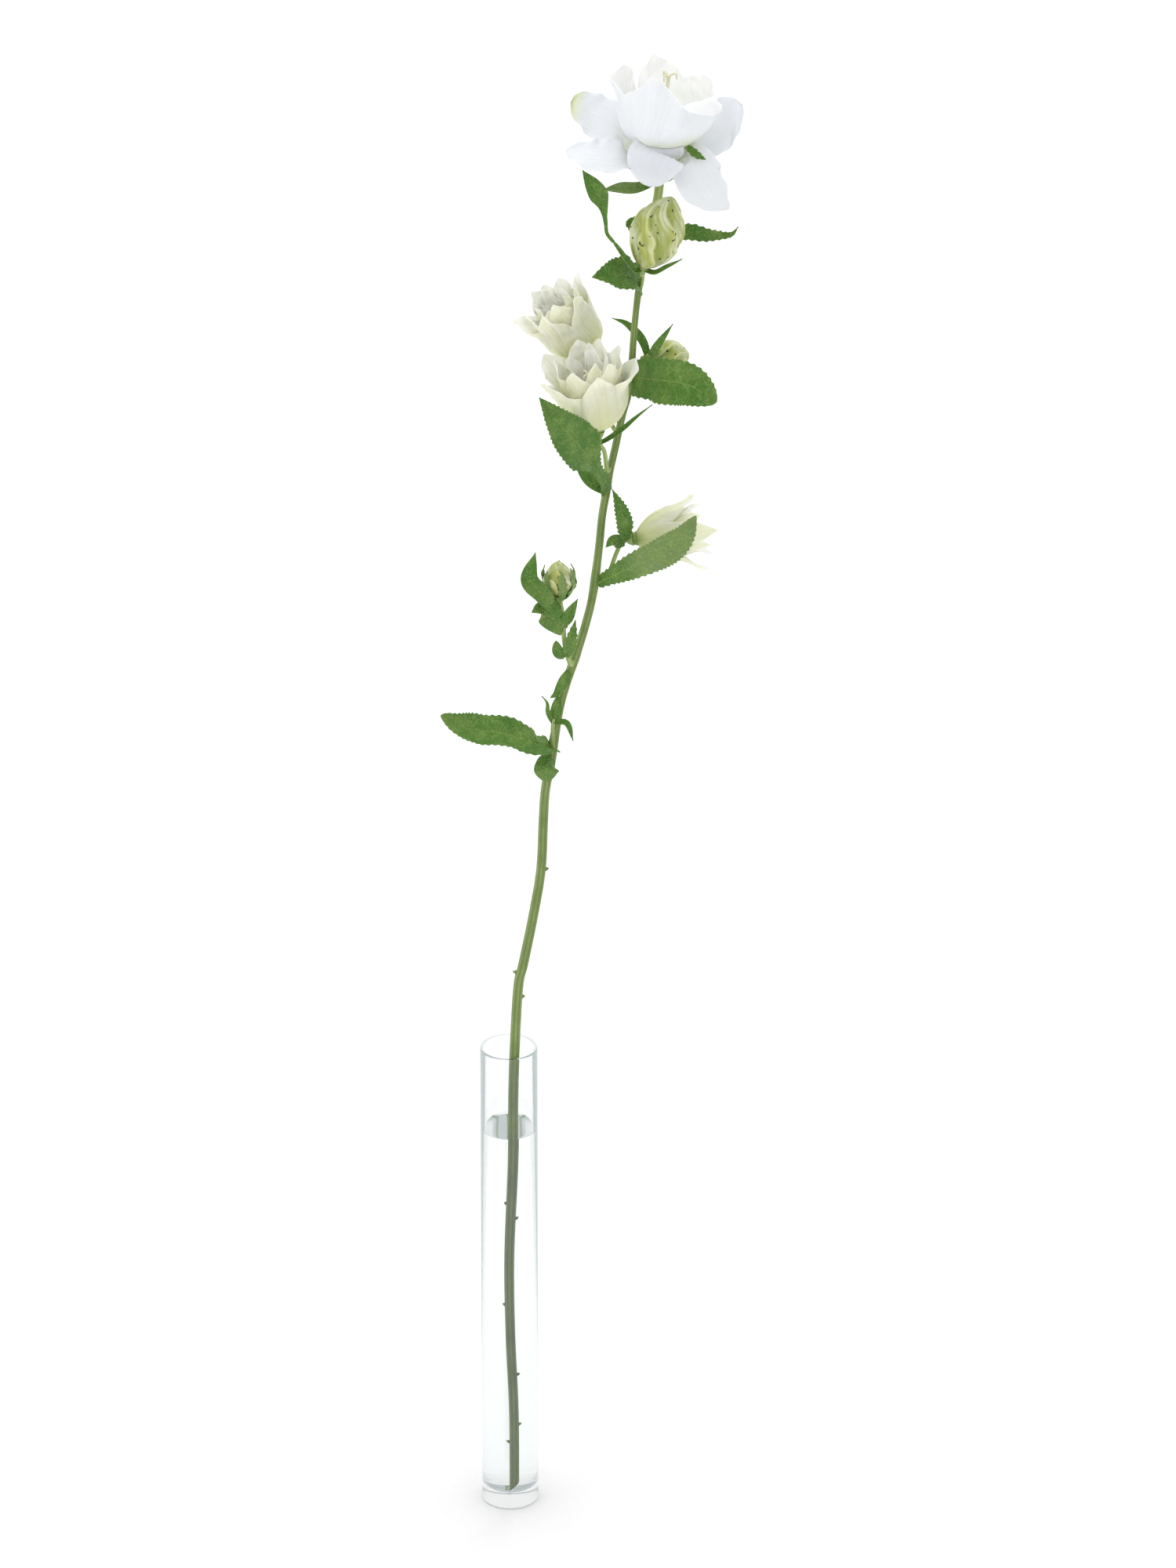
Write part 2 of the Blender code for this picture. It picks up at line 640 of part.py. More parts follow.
def blade_solid(name, blade):
    """A thin blade: a bent sheet, split into triangles, with a thickness."""
    work = bmesh.new()
    bmesh.ops.create_grid(work, x_segments=blade.spans, y_segments=2 * blade.halves, size=1.0)
    bmesh.ops.triangulate(work, faces=work.faces, quad_method="ALTERNATE")
    frames = blade_frames(blade)
    for vert in work.verts:
        step = round((vert.co.x + 1) / 2 * blade.spans)
        across = round(vert.co.y * blade.halves) / blade.halves
        vert.co = blade_point(blade, frames[step], step, across)
    mesh = bpy.data.meshes.new(name)
    work.to_mesh(mesh)
    work.free()
    item = add_object(name, mesh)
    shell = item.modifiers.new("thickness", "SOLIDIFY")
    shell.thickness = BLADE_THICKNESS
    shell.offset = 0.0
    return item


def rooted(blade, height):
    """The blade with its midrib begun just off the stem."""
    root, out = root_on_stem(height, blade.spine[0])
    return blade._replace(spine=(tuple(root), *blade.spine))


# Blooms and buds


def axis_frame(base, tip):
    """An axis from base to tip: its length, its direction, and two directions across it.

    The first of these leans towards +X, or towards +Z where the axis itself lies along X.
    """
    base, tip = Vector(base), Vector(tip)
    axis = (tip - base).normalized()
    towards = Vector((1.0, 0.0, 0.0)) if abs(axis.x) < 0.8 else Vector((0.0, 0.0, 1.0))
    first = (towards - towards.dot(axis) * axis).normalized()
    return (tip - base).length, axis, first, axis.cross(first)


def cone(name, base, axis, low_radius, high_radius, height, sides=10):
    """A round solid on an axis, with flat ends."""
    work = bmesh.new()
    bmesh.ops.create_cone(work, cap_ends=True, segments=sides, radius1=low_radius, radius2=high_radius,
                          depth=height)
    mesh = bpy.data.meshes.new(name)
    work.to_mesh(mesh)
    work.free()
    item = add_object(name, mesh)
    item.rotation_mode = "QUATERNION"
    item.rotation_quaternion = axis.to_track_quat("Z", "Y")
    item.location = Vector(base) + axis * height / 2
    return item


def bell_point(bloom, bell, turn, rise):
    """One point of a bell's sheet: turn goes round from 0 to 1, rise from the core to the rim."""
    length, axis, first, other = axis_frame(bloom.base, bloom.mouth)
    lobe = turn * LOBES
    from_lobe = 2 * abs(lobe - round(lobe))
    reach, radius, droop = bell.tips[round(lobe) % LOBES]
    rise = BELL_START + (1 - BELL_START) * rise
    height = rise * (bell.sinus + (reach - bell.sinus) * (1 - from_lobe ** LOBE_POINT))
    widening = 1 - (1 - min(height / bell.rounding, 1)) ** 3
    out = bell.radius * widening + (radius - bell.radius) * (1 - from_lobe ** 2) * rise ** 3
    height = height * length + bell.lift - droop * (1 - from_lobe ** 2) * rise ** 5
    angle = 2 * math.pi * turn + math.radians(bell.turn)
    return Vector(bloom.base) + axis * height + (first * math.cos(angle) + other * math.sin(angle)) * out


def bell_solid(bloom, bell):
    """One layer of a bloom: a turned sheet whose rim is cut into pointed lobes."""
    work = bmesh.new()
    bmesh.ops.create_grid(work, x_segments=bell.columns, y_segments=bell.spans, size=1.0)
    bmesh.ops.triangulate(work, faces=work.faces, quad_method="ALTERNATE")
    for vert in work.verts:
        column = round((vert.co.x + 1) / 2 * bell.columns)
        vert.co = bell_point(bloom, bell, column / bell.columns, (vert.co.y + 1) / 2)
    bmesh.ops.remove_doubles(work, verts=work.verts, dist=0.00001)
    mesh = bpy.data.meshes.new("bell")
    work.to_mesh(mesh)
    work.free()
    item = add_object("bell", mesh)
    shell = item.modifiers.new("thickness", "SOLIDIFY")
    shell.thickness = BLADE_THICKNESS
    shell.offset = 0.0
    return item


def petal_spine(bloom, blade):
    """A petal's midrib begins inside the bloom's core, on the petal's own side."""
    base = Vector(bloom.base)
    axis = (Vector(bloom.mouth) - base).normalized()
    out = Vector(blade.spine[0]) - base
    out = (out - out.dot(axis) * axis).normalized()
    root = base + axis * bloom.core_height * 0.3 + out * CORE_FOOT_RADIUS / 2
    claw = base + axis * bloom.core_height * 0.6 + out * CLAW_REACH
    return (tuple(root), tuple(claw), *blade.spine)


def bloom_petals(bloom):
    """The bells, the saucer petals and the core that joins them, as one solid."""
    axis = axis_frame(bloom.base, bloom.mouth)[1]
    core = cone(bloom.name + "_petals", bloom.base, axis, CORE_FOOT_RADIUS, CORE_TOP_RADIUS,
                bloom.core_height)
    petals = [blade_solid("petal", blade._replace(spine=petal_spine(bloom, blade))) for blade in bloom.petals]
    joined = fuse(core, [*(bell_solid(bloom, bell) for bell in bloom.bells), *petals])
    dress(joined, finish_material("petal " + bloom.colour, bloom.colour, 0.5))


def bloom_pistil(bloom):
    """The style stands on the bloom's core and ends in curled stigma lobes."""
    length, axis, first, other = axis_frame(bloom.base, bloom.mouth)
    foot = Vector(bloom.base) + axis * (bloom.core_height + TOUCH_GAP)
    top = Vector(bloom.style_tip or Vector(bloom.base) + axis * length * STYLE_SHARE)
    style = tube(bloom.name + "_pistil", [foot, foot.lerp(top, 0.5), top],
                 [STYLE_RADIUS * 1.3, STYLE_RADIUS, STYLE_RADIUS])
    lobes = []
    for i in range(STIGMA_LOBES):
        angle = 2 * math.pi * i / STIGMA_LOBES
        out = (first * math.cos(angle) + other * math.sin(angle)) * STIGMA_REACH
        rise = axis * STIGMA_REACH
        line = [top - axis * STYLE_RADIUS, top + rise * 0.6 + out * 0.35, top + rise * 0.7 + out,
                top + out * 1.1]
        path = smooth_path(line, 4)
        lobes.append(tube("stigma", path, [STYLE_RADIUS * 0.7] * len(path), 0))
    dress(fuse(style, lobes), finish_material("style", STYLE_CREAM, 0.5))


def flower_stalk(name, base, axis, line, bracts, radius=0.0013):
    """The green cup under a bloom or bud, with its pedicel and bracts, as one solid."""
    cup_foot = Vector(base) - axis * (CUP_HEIGHT + TOUCH_GAP)
    cup = cone(name, cup_foot, axis, CUP_FOOT_RADIUS, CUP_TOP_RADIUS, CUP_HEIGHT)
    others = [blade_solid("bract", blade) for blade in bracts]
    if line:
        inside = cup_foot + axis * CUP_HEIGHT / 2
        path = stalk_path((*line, tuple(cup_foot - axis * CUP_HEIGHT / 2), tuple(inside)), 8)
        others.append(tube("pedicel", path, [radius] * len(path)))
    dress(clear_of_stem(fuse(cup, others)), finish_material("stalk", PALE_GREEN, 0.6))


def bud_solid(bud):
    """A pointed egg with pleats that run from its base to its tip."""
    length, axis, first, other = axis_frame(bud.base, bud.tip)
    work = bmesh.new()
    bmesh.ops.create_uvsphere(work, u_segments=BUD_AROUND, v_segments=BUD_RINGS, radius=1.0)
    for vert in work.verts:
        height = max(vert.co.z, -BUD_FLAT)
        angle = math.atan2(vert.co.y, vert.co.x)
        girth = math.hypot(vert.co.x, vert.co.y) * (1 + BUD_PLEAT * math.cos(LOBES * angle))
        girth *= 1 - BUD_NARROWING * max(-height, 0) ** 1.5
        share = (height + BUD_FLAT) / (1 + BUD_FLAT)
        rise = share * (1 - BUD_POINT) + BUD_POINT * share ** 6
        out = (first * math.cos(angle) + other * math.sin(angle)) * girth * bud.radius
        vert.co = Vector(bud.base) + axis * rise * length + out
    mesh = bpy.data.meshes.new(bud.name)
    work.to_mesh(mesh)
    work.free()
    return dress(add_object(bud.name + "_petals", mesh), finish_material("bud", BUD_GREEN, 0.5))


def build_blooms():
    for bloom in BLOOMS:
        axis = axis_frame(bloom.base, bloom.mouth)[1]
        bloom_petals(bloom)
        bloom_pistil(bloom)
        flower_stalk(bloom.name + "_stalk", bloom.base, axis, bloom.stalk, bloom.bracts, bloom.stalk_radius)


def build_buds():
    for bud in BUDS:
        axis = axis_frame(bud.base, bud.tip)[1]
        bud_solid(bud)
        if bud.stalk:
            flower_stalk(bud.name + "_stalk", bud.base, axis, bud.stalk, bud.bracts)


# The stem, leaves and leafy shoots


def stub_solid(height, direction, reach, grow=0.0):
    """The scar of a leaf that was cut off: a low lump on the stem."""
    angle = math.radians(direction)
    out = Vector((math.cos(angle), math.sin(angle), 0.0))
    work = bmesh.new()
    bmesh.ops.create_uvsphere(work, u_segments=6, v_segments=4, radius=1.0)
    mesh = bpy.data.meshes.new("stub")
    work.to_mesh(mesh)
    work.free()
    item = add_object("stub", mesh)
    item.location = stem_centre(height) + out * (stem_radius(height) - STUB_WIDTH / 2)
    item.rotation_euler = (0.0, 0.0, angle)
    item.scale = (reach + STUB_WIDTH / 2 + grow, STUB_WIDTH + grow, STUB_LENGTH / 2 + grow)
    return item


def build_stem():
    """The main stem: a ribbed section along its line, cut on a slant at the foot."""
    ribs = 2 * STEM_RIBS
    section = bpy.data.curves.new("stem section", "CURVE")
    ring = section.splines.new("POLY")
    ring.points.add(ribs - 1)
    for i, point in enumerate(ring.points):
        angle = 2 * math.pi * i / ribs
        radius = 1 + (RIB_SHARE if i % 2 else -RIB_SHARE)
        point.co = (radius * math.cos(angle), radius * math.sin(angle), 0.0, 1.0)
    ring.use_cyclic_u = True
    guide = add_object("stem section", section)
    curve = bpy.data.curves.new("stem", "CURVE")
    curve.dimensions = "3D"
    curve.bevel_mode = "OBJECT"
    curve.bevel_object = guide
    curve.use_fill_caps = True
    path = stem_path()
    line = curve.splines.new("POLY")
    line.points.add(len(path) - 1)
    for point, place in zip(line.points, path):
        point.co = (*place, 1.0)
        point.radius = stem_radius(place.z)
    stem = solid_mesh(add_object("stem", curve))
    bpy.data.objects.remove(guide, do_unlink=True)
    cut_foot(stem)
    dress(fuse(stem, [stub_solid(*stub) for stub in STUBS]), stem_material())


def cut_foot(stem):
    """Cut the stem's foot on a slant, with its lowest point just off the vase's floor."""
    centre = stem_centre(VASE_FLOOR)
    lowest = centre + Vector((-STEM_RADIUS, 0.0, 0.0))
    lowest.z = VASE_FLOOR + TOUCH_GAP
    normal = Vector((-math.sin(FOOT_CUT_SLOPE), 0.0, math.cos(FOOT_CUT_SLOPE)))
    work = bmesh.new()
    work.from_mesh(stem.data)
    everything = [*work.verts, *work.edges, *work.faces]
    cut = bmesh.ops.bisect_plane(work, geom=everything, plane_co=lowest, plane_no=normal, clear_inner=True)
    edges = [part for part in cut["geom_cut"] if isinstance(part, bmesh.types.BMEdge)]
    bmesh.ops.edgeloop_fill(work, edges=edges)
    bmesh.ops.recalc_face_normals(work, faces=work.faces)
    work.to_mesh(stem.data)
    work.free()


def build_leaves():
    for leaf in (*LEAVES, SIDE_BRACT, *BACK_LEAVES):
        dress(clear_of_stem(blade_solid(leaf.name, rooted(leaf.blade, leaf.height))), leaf_material())


def build_shoots():
    """The two leafy side shoots, each one solid with its leaves."""
    shoots = (
        ("side_branch", SIDE_BRANCH_LINE, SIDE_BRANCH_BLADES, 0.0014),
        ("side_shoot", SIDE_SHOOT_LINE, SIDE_SHOOT_BLADES, 0.0011),
    )
    for name, line, blades, radius in shoots:
        path = stalk_path(line, 8)
        stalk = tube(name, path, [radius] * len(path))
        others = [blade_solid("leaf", blade) for blade in blades]
        if name == "side_branch":
            bud = BUDS[-1]
            axis = axis_frame(bud.base, bud.tip)[1]
            foot = Vector(bud.base) - axis * (CUP_HEIGHT + TOUCH_GAP)
            others.append(cone("cup", foot, axis, CUP_FOOT_RADIUS, CUP_TOP_RADIUS, CUP_HEIGHT))
        dress(clear_of_stem(fuse(stalk, others)), leaf_material())


# The vase and its water


def arc(centre_radius, centre_height, radius, start, end, steps):
    """Points of an arc in the outline's plane, as (radius, height)."""
    points = []
    for i in range(steps + 1):
        angle = math.radians(start + (end - start) * i / steps)
        points.append((centre_radius + radius * math.cos(angle), centre_height + radius * math.sin(angle)))
    return points


def inner_outline(radius, floor, fillet, top):
    """The vase's inside from its floor's centre up the wall, larger or smaller by choice."""
    return [(0.0, floor), *arc(radius - fillet, floor + fillet, fillet, -90, 0, 3), (radius, top)]


def build_vase():
    """A straight glass cylinder: thick floor, filleted inside corner and a fire-polished rim."""
    half_wall = VASE_WALL / 2
    rim_height = VASE_HEIGHT - half_wall
    heel = arc(VASE_RADIUS - VASE_HEEL, VASE_HEEL, VASE_HEEL, 0, -90, 2)
    rim = arc(VASE_RADIUS - half_wall, rim_height, half_wall, 180, 0, 4)
    inside = inner_outline(VASE_RADIUS - VASE_WALL, VASE_FLOOR, VASE_FILLET, rim_height)
    outline = [*inside[:-1], *rim, *heel, (0.0, 0.0)]
    vase = turned("vase", outline, VASE_STEPS)
    dress(vase, finish_material("glass", GLASS, 0.05, 0.95))


def build_water():
    """The water fills the vase to its level, with a plain hole for the stem."""
    radius = VASE_RADIUS - VASE_WALL - TOUCH_GAP
    floor = VASE_FLOOR + TOUCH_GAP
    outline = inner_outline(radius, floor, VASE_FILLET, WATER_LEVEL)
    water = turned("water", [(0.0, WATER_LEVEL), *reversed(outline)], WATER_STEPS)
    path = [point for point in stem_path() if point.z < WATER_LEVEL + 0.03]
    hole = tube("stem_hole", path, [stem_radius(point.z) * (1 + RIB_SHARE) + TOUCH_GAP for point in path], 4)
    stubs = [stub_solid(*stub, grow=TOUCH_GAP) for stub in STUBS if stub[0] < WATER_LEVEL]
    hole = fuse(hole, stubs)
    hide_cutter(hole)
    cut = water.modifiers.new("stem hole", "BOOLEAN")
    cut.operation = "DIFFERENCE"
    cut.object = hole
    dress(water, finish_material("water", WATER, 0.02, 0.95))


def main():
    clear_scene()
    for name in ("bellflower in vase", "cutters"):
        bpy.context.scene.collection.children.link(bpy.data.collections.new(name))
    build_vase()
    build_water()
    build_stem()
    build_clearance()
    build_leaves()
    build_shoots()
    build_blooms()
    build_buds()


main()
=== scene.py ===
"""The looks of the bellflower in vase: fine leaves, petals, buds, stem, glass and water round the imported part.

Metres, +Z up. The origin is the centre of the vase's flat underside, and the picture's side is -Y.
"""

import math
from typing import NamedTuple

import bmesh
import bpy
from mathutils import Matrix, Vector, noise


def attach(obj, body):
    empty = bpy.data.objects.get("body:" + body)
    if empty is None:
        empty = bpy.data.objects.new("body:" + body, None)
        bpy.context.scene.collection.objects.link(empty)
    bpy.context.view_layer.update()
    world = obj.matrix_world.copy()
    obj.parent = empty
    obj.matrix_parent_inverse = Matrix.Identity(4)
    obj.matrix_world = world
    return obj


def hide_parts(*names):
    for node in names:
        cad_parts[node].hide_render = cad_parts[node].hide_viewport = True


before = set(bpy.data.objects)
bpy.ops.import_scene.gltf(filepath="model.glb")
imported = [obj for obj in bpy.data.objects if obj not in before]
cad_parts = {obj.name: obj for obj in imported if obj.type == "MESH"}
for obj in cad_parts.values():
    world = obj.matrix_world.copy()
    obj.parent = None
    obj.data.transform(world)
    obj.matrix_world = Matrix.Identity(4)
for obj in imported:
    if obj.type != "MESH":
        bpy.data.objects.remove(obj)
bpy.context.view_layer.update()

bl_info = {
    "name": "Bellflower in vase",
    "version": (1, 0, 0),
    "blender": (4, 5, 0),
    "location": "3D View > Sidebar > Bellflower",
    "description": "Makes a cut double bellflower in a slim glass vase of water, piece by piece",
    "category": "Object",
}


def linear(text):
    """A linear RGBA colour from an sRGB hex string."""
    shares = [int(text[i:i + 2], 16) / 255 for i in (0, 2, 4)]
    return (*(s / 12.92 if s <= 0.04045 else ((s + 0.055) / 1.055) ** 2.4 for s in shares), 1.0)


# The vase and its water
VASE_HEEL = 0.0015
VASE_FILLET = 0.006
WATER_OVERLAP = 0.00005
WATER_GAP = 0.0003
MENISCUS = 0.0012
CAUGHT_RAY = 1

# The stem
ROOT_GAP = 0.0006
RIB_SHARE = 0.04
NODE_SWELL = 0.12
NODE_REACH = 0.008
FOOT_THINNING = 0.2
FOOT_REACH = 0.24
FOOT_CUT_SLOPE = math.radians(48)
STEM_LINE = (
    (0.0022, -0.0100, 0.0040),
    (0.0021, -0.0102, 0.0640),
    (0.0004, -0.0104, 0.1180),
    (0.0000, -0.0106, 0.1710),
    (0.0022, -0.0107, 0.2350),
    (0.0026, -0.0110, 0.2770),
    (0.0036, -0.0112, 0.3090),
    (0.0058, -0.0115, 0.3500),
    (0.0090, -0.0112, 0.3662),
    (0.0146, -0.0105, 0.3958),
    (0.0193, -0.0100, 0.4264),
    (0.0207, -0.0090, 0.4566),
    (0.0219, -0.0085, 0.4767),
    (0.0250, -0.0075, 0.4960),
    (0.0281, -0.0060, 0.5161),
    (0.0306, -0.0050, 0.5308),
    (0.0345, -0.0040, 0.5455),
    (0.0407, -0.0020, 0.5647),
    (0.0450, -0.0010, 0.5793),
    (0.0495, 0.0005, 0.5987),
    (0.0531, 0.0020, 0.6280),
    (0.0549, 0.0025, 0.6477),
    (0.0572, 0.0030, 0.6624),
    (0.0590, 0.0035, 0.6746),
    (0.0621, 0.0040, 0.6892),
    (0.0666, 0.0050, 0.7110),
    (0.0698, 0.0055, 0.7231),
    (0.0715, 0.0060, 0.7352),
    (0.0733, 0.0060, 0.7647),
    (0.0759, 0.0070, 0.7897),
    (0.0786, 0.0120, 0.8012),
    (0.0813, 0.0160, 0.8141),
    (0.0844, 0.0170, 0.8307),
    (0.0859, 0.0151, 0.8390),
)
LEAF_NODES = (0.4930, 0.5040, 0.5590, 0.6090, 0.6670, 0.7390, 0.7900)

# Where a leaf or a shoot was cut off: height, direction in degrees from +X, and how far it stands out
STUBS = (
    (0.4270, 0, 0.0016),
    (0.3600, 180, 0.0018),
    (0.3440, 0, 0.0014),
    (0.2060, 170, 0.0012),
    (0.1960, 10, 0.0016),
    (0.1380, 185, 0.0012),
    (0.0900, 5, 0.0015),
    (0.0560, 0, 0.0014),
    (0.0440, 175, 0.0016),
)
STUB_LENGTH = 0.0028
STUB_WIDTH = 0.0012

# Blades, bells and buds
BLADE_TIP = 0.0003
CORE_FOOT_RADIUS = 0.0036
CORE_TOP_RADIUS = 0.0052
CLAW_REACH = 0.012
CUP_HEIGHT = 0.004
CUP_FOOT_RADIUS = 0.0016
CUP_TOP_RADIUS = 0.004
TOUCH_GAP = 0.0003
LOBES = 5
BELL_START = 0.012
BELL_COLUMNS = 240
BELL_ROWS = 44
BUD_AROUND = 160
BUD_RINGS = 72
BUD_PLEAT = 0.13
BUD_SPIRAL = 0.3
BUD_NARROWING = 0.3
BUD_POINT = 0.08
BUD_FLAT = 0.93
SEPAL_DIRECTIONS = (20, 85, 160, 222, 285, 335)
SEPAL_LINE = ((-0.12, 0.35), (0.02, 0.75), (0.3, 1.12), (0.6, 1.16), (0.86, 0.95))
SEPAL_HALF_WIDTH = 0.0027
STYLE_RADIUS = 0.0009
STYLE_SHARE = 0.78
STIGMA_LOBES = 3
STIGMA_REACH = 0.0045

# One tooth of a leaf's edge, from notch to point and back, as shares of its depth
TOOTH = (0.0, 0.3, 0.7, 1.0, 0.35)
TOOTH_SPACING = 0.0034
VEIN_SPACING = 0.0095


class Blade(NamedTuple):
    """A leaf, bract or petal: its midrib from foot to tip, and how its blade lies on it."""

    spine: tuple
    half_width: float
    facing: tuple
    widest: float = 0.42
    foot: float = 0.3
    neck: float = 1.0
    bluntness: float = 1.0
    fold: float = 0.0
    roll: float = 0.0
    twist: float = 0.0
    wave: float = 0.0
    waves: float = 2.5
    toothed: bool = False
    pale: bool = False
    tip_facing: tuple = ()
    green_tip: float = 0.0


class Leaf(NamedTuple):
    """A blade that grows from the stem at a height."""

    name: str
    height: float
    blade: Blade


class Lobe(NamedTuple):
    """A bell's lobe: how far its tip is up and out, how it folds over, and how the next notch is cut."""

    reach: float
    radius: float
    notch: float = 0.66
    droop: float = 0.0
    shift: float = 0.0
    point: float = 1.25
    flare: float = 3.0


class Bell(NamedTuple):
    """One lobed layer of a bloom."""

    radius: float
    turn: float
    lobes: tuple
    lift: float = 0.0
    rounding: float = 0.4
    lean: float = 0.0
    crumple: float = 0.0018


class Bloom(NamedTuple):
    """The bells inside one another, the saucer of petals under them, and the stalk that carries them."""

    name: str
    base: tuple
    mouth: tuple
    finish: str
    # The outer finish is a greyer copy of the inner one: painted shade on the bloom's outside
    shaded_outer_finish: str
    bells: tuple
    petals: tuple
    stalk: tuple
    bracts: tuple
    core_height: float = 0.005
    style_tip: tuple = ()
    stalk_radius: float = 0.0013


class Bud(NamedTuple):
    """A closed bud with pleated petals, and the stalk and sepals that carry it."""

    name: str
    base: tuple
    tip: tuple
    radius: float
    stalk: tuple
    bracts: tuple


LEAVES = (
    Leaf("leaf_top_left", 0.7930, Blade(
        ((0.0725, -0.0030, 0.8010), (0.0655, -0.0130, 0.8068), (0.0575, -0.0200, 0.8096),
         (0.0490, -0.0250, 0.8106)),
        0.0108, (0.05, -0.75, 0.65), widest=0.5, foot=0.7, fold=14, wave=0.0015, toothed=True)),
    Leaf("leaf_upper_right", 0.7350, Blade(
        ((0.0894, -0.0140, 0.7416), (0.1050, -0.0220, 0.7418), (0.1203, -0.0250, 0.7328)),
        0.0135, (0.05, -0.95, 0.3), widest=0.55, foot=0.75, bluntness=0.6, fold=10, wave=0.0022, toothed=True)),
    Leaf("leaf_middle_left", 0.6640, Blade(
        ((0.0545, -0.0140, 0.6815), (0.0427, -0.0340, 0.7080), (0.0305, -0.0455, 0.7284),
         (0.0191, -0.0510, 0.7473)),
        0.0138, (0.15, -0.85, 0.5), widest=0.55, foot=0.25, neck=5.5, bluntness=0.95, fold=12, wave=0.0018,
        toothed=True)),
    Leaf("leaf_middle_small", 0.6640, Blade(
        ((0.0491, 0.0040, 0.6699), (0.0400, 0.0090, 0.6760)),
        0.0045, (0.0, -0.6, 0.8), foot=0.5, fold=10)),
    Leaf("leaf_lower_right", 0.6070, Blade(
        ((0.0694, -0.0160, 0.6234), (0.0874, -0.0290, 0.6384), (0.0990, -0.0330, 0.6492),
         (0.1089, -0.0260, 0.6618)),
        0.0090, (0.1, 0.9, -0.3), widest=0.68, foot=0.35, bluntness=0.75, fold=12, wave=0.0016, toothed=True,
        tip_facing=(0.4, 0.9, -0.1))),
    Leaf("leaf_lower_left", 0.5060, Blade(
        ((0.0171, -0.0200, 0.5132), (0.0000, -0.0260, 0.5222), (-0.0160, -0.0295, 0.5266),
         (-0.0275, -0.0310, 0.5298), (-0.0385, -0.0320, 0.5375)),
        0.0112, (0.0, -0.5, 0.9), widest=0.6, foot=0.66, bluntness=0.62, fold=12, wave=0.0012, toothed=True)),
    Leaf("leaf_clasping", 0.5000, Blade(
        ((0.0236, -0.0170, 0.4992), (0.0226, -0.0200, 0.4950), (0.0226, -0.0180, 0.4880)),
        0.0078, (0.0, -1.0, 0.2), widest=0.6, foot=0.5, bluntness=0.5, fold=-20)),
    Leaf("leaf_side_bract", 0.5530, Blade(
        ((0.0327, -0.0140, 0.5508), (0.0286, -0.0145, 0.5432), (0.0250, -0.0135, 0.5400)),
        0.0032, (-0.2, -1.0, 0.1), foot=0.7, bluntness=0.7, fold=-15)),
    Leaf("leaf_top_right", 0.8080, Blade(
        ((0.0916, 0.0210, 0.8143), (0.1028, 0.0170, 0.8199), (0.1162, 0.0110, 0.8210),
         (0.1278, 0.0080, 0.8224), (0.1326, 0.0080, 0.8277)),
        0.0050, (0.0, -0.7, 0.7), foot=0.4, widest=0.45, fold=10, wave=0.001, toothed=True)),
    Leaf("leaf_top_back", 0.8170, Blade(
        ((0.0745, 0.0150, 0.8255), (0.0687, 0.0110, 0.8297)),
        0.0055, (-0.2, -0.9, 0.3), foot=0.5, bluntness=0.4, fold=8, toothed=True)),
)

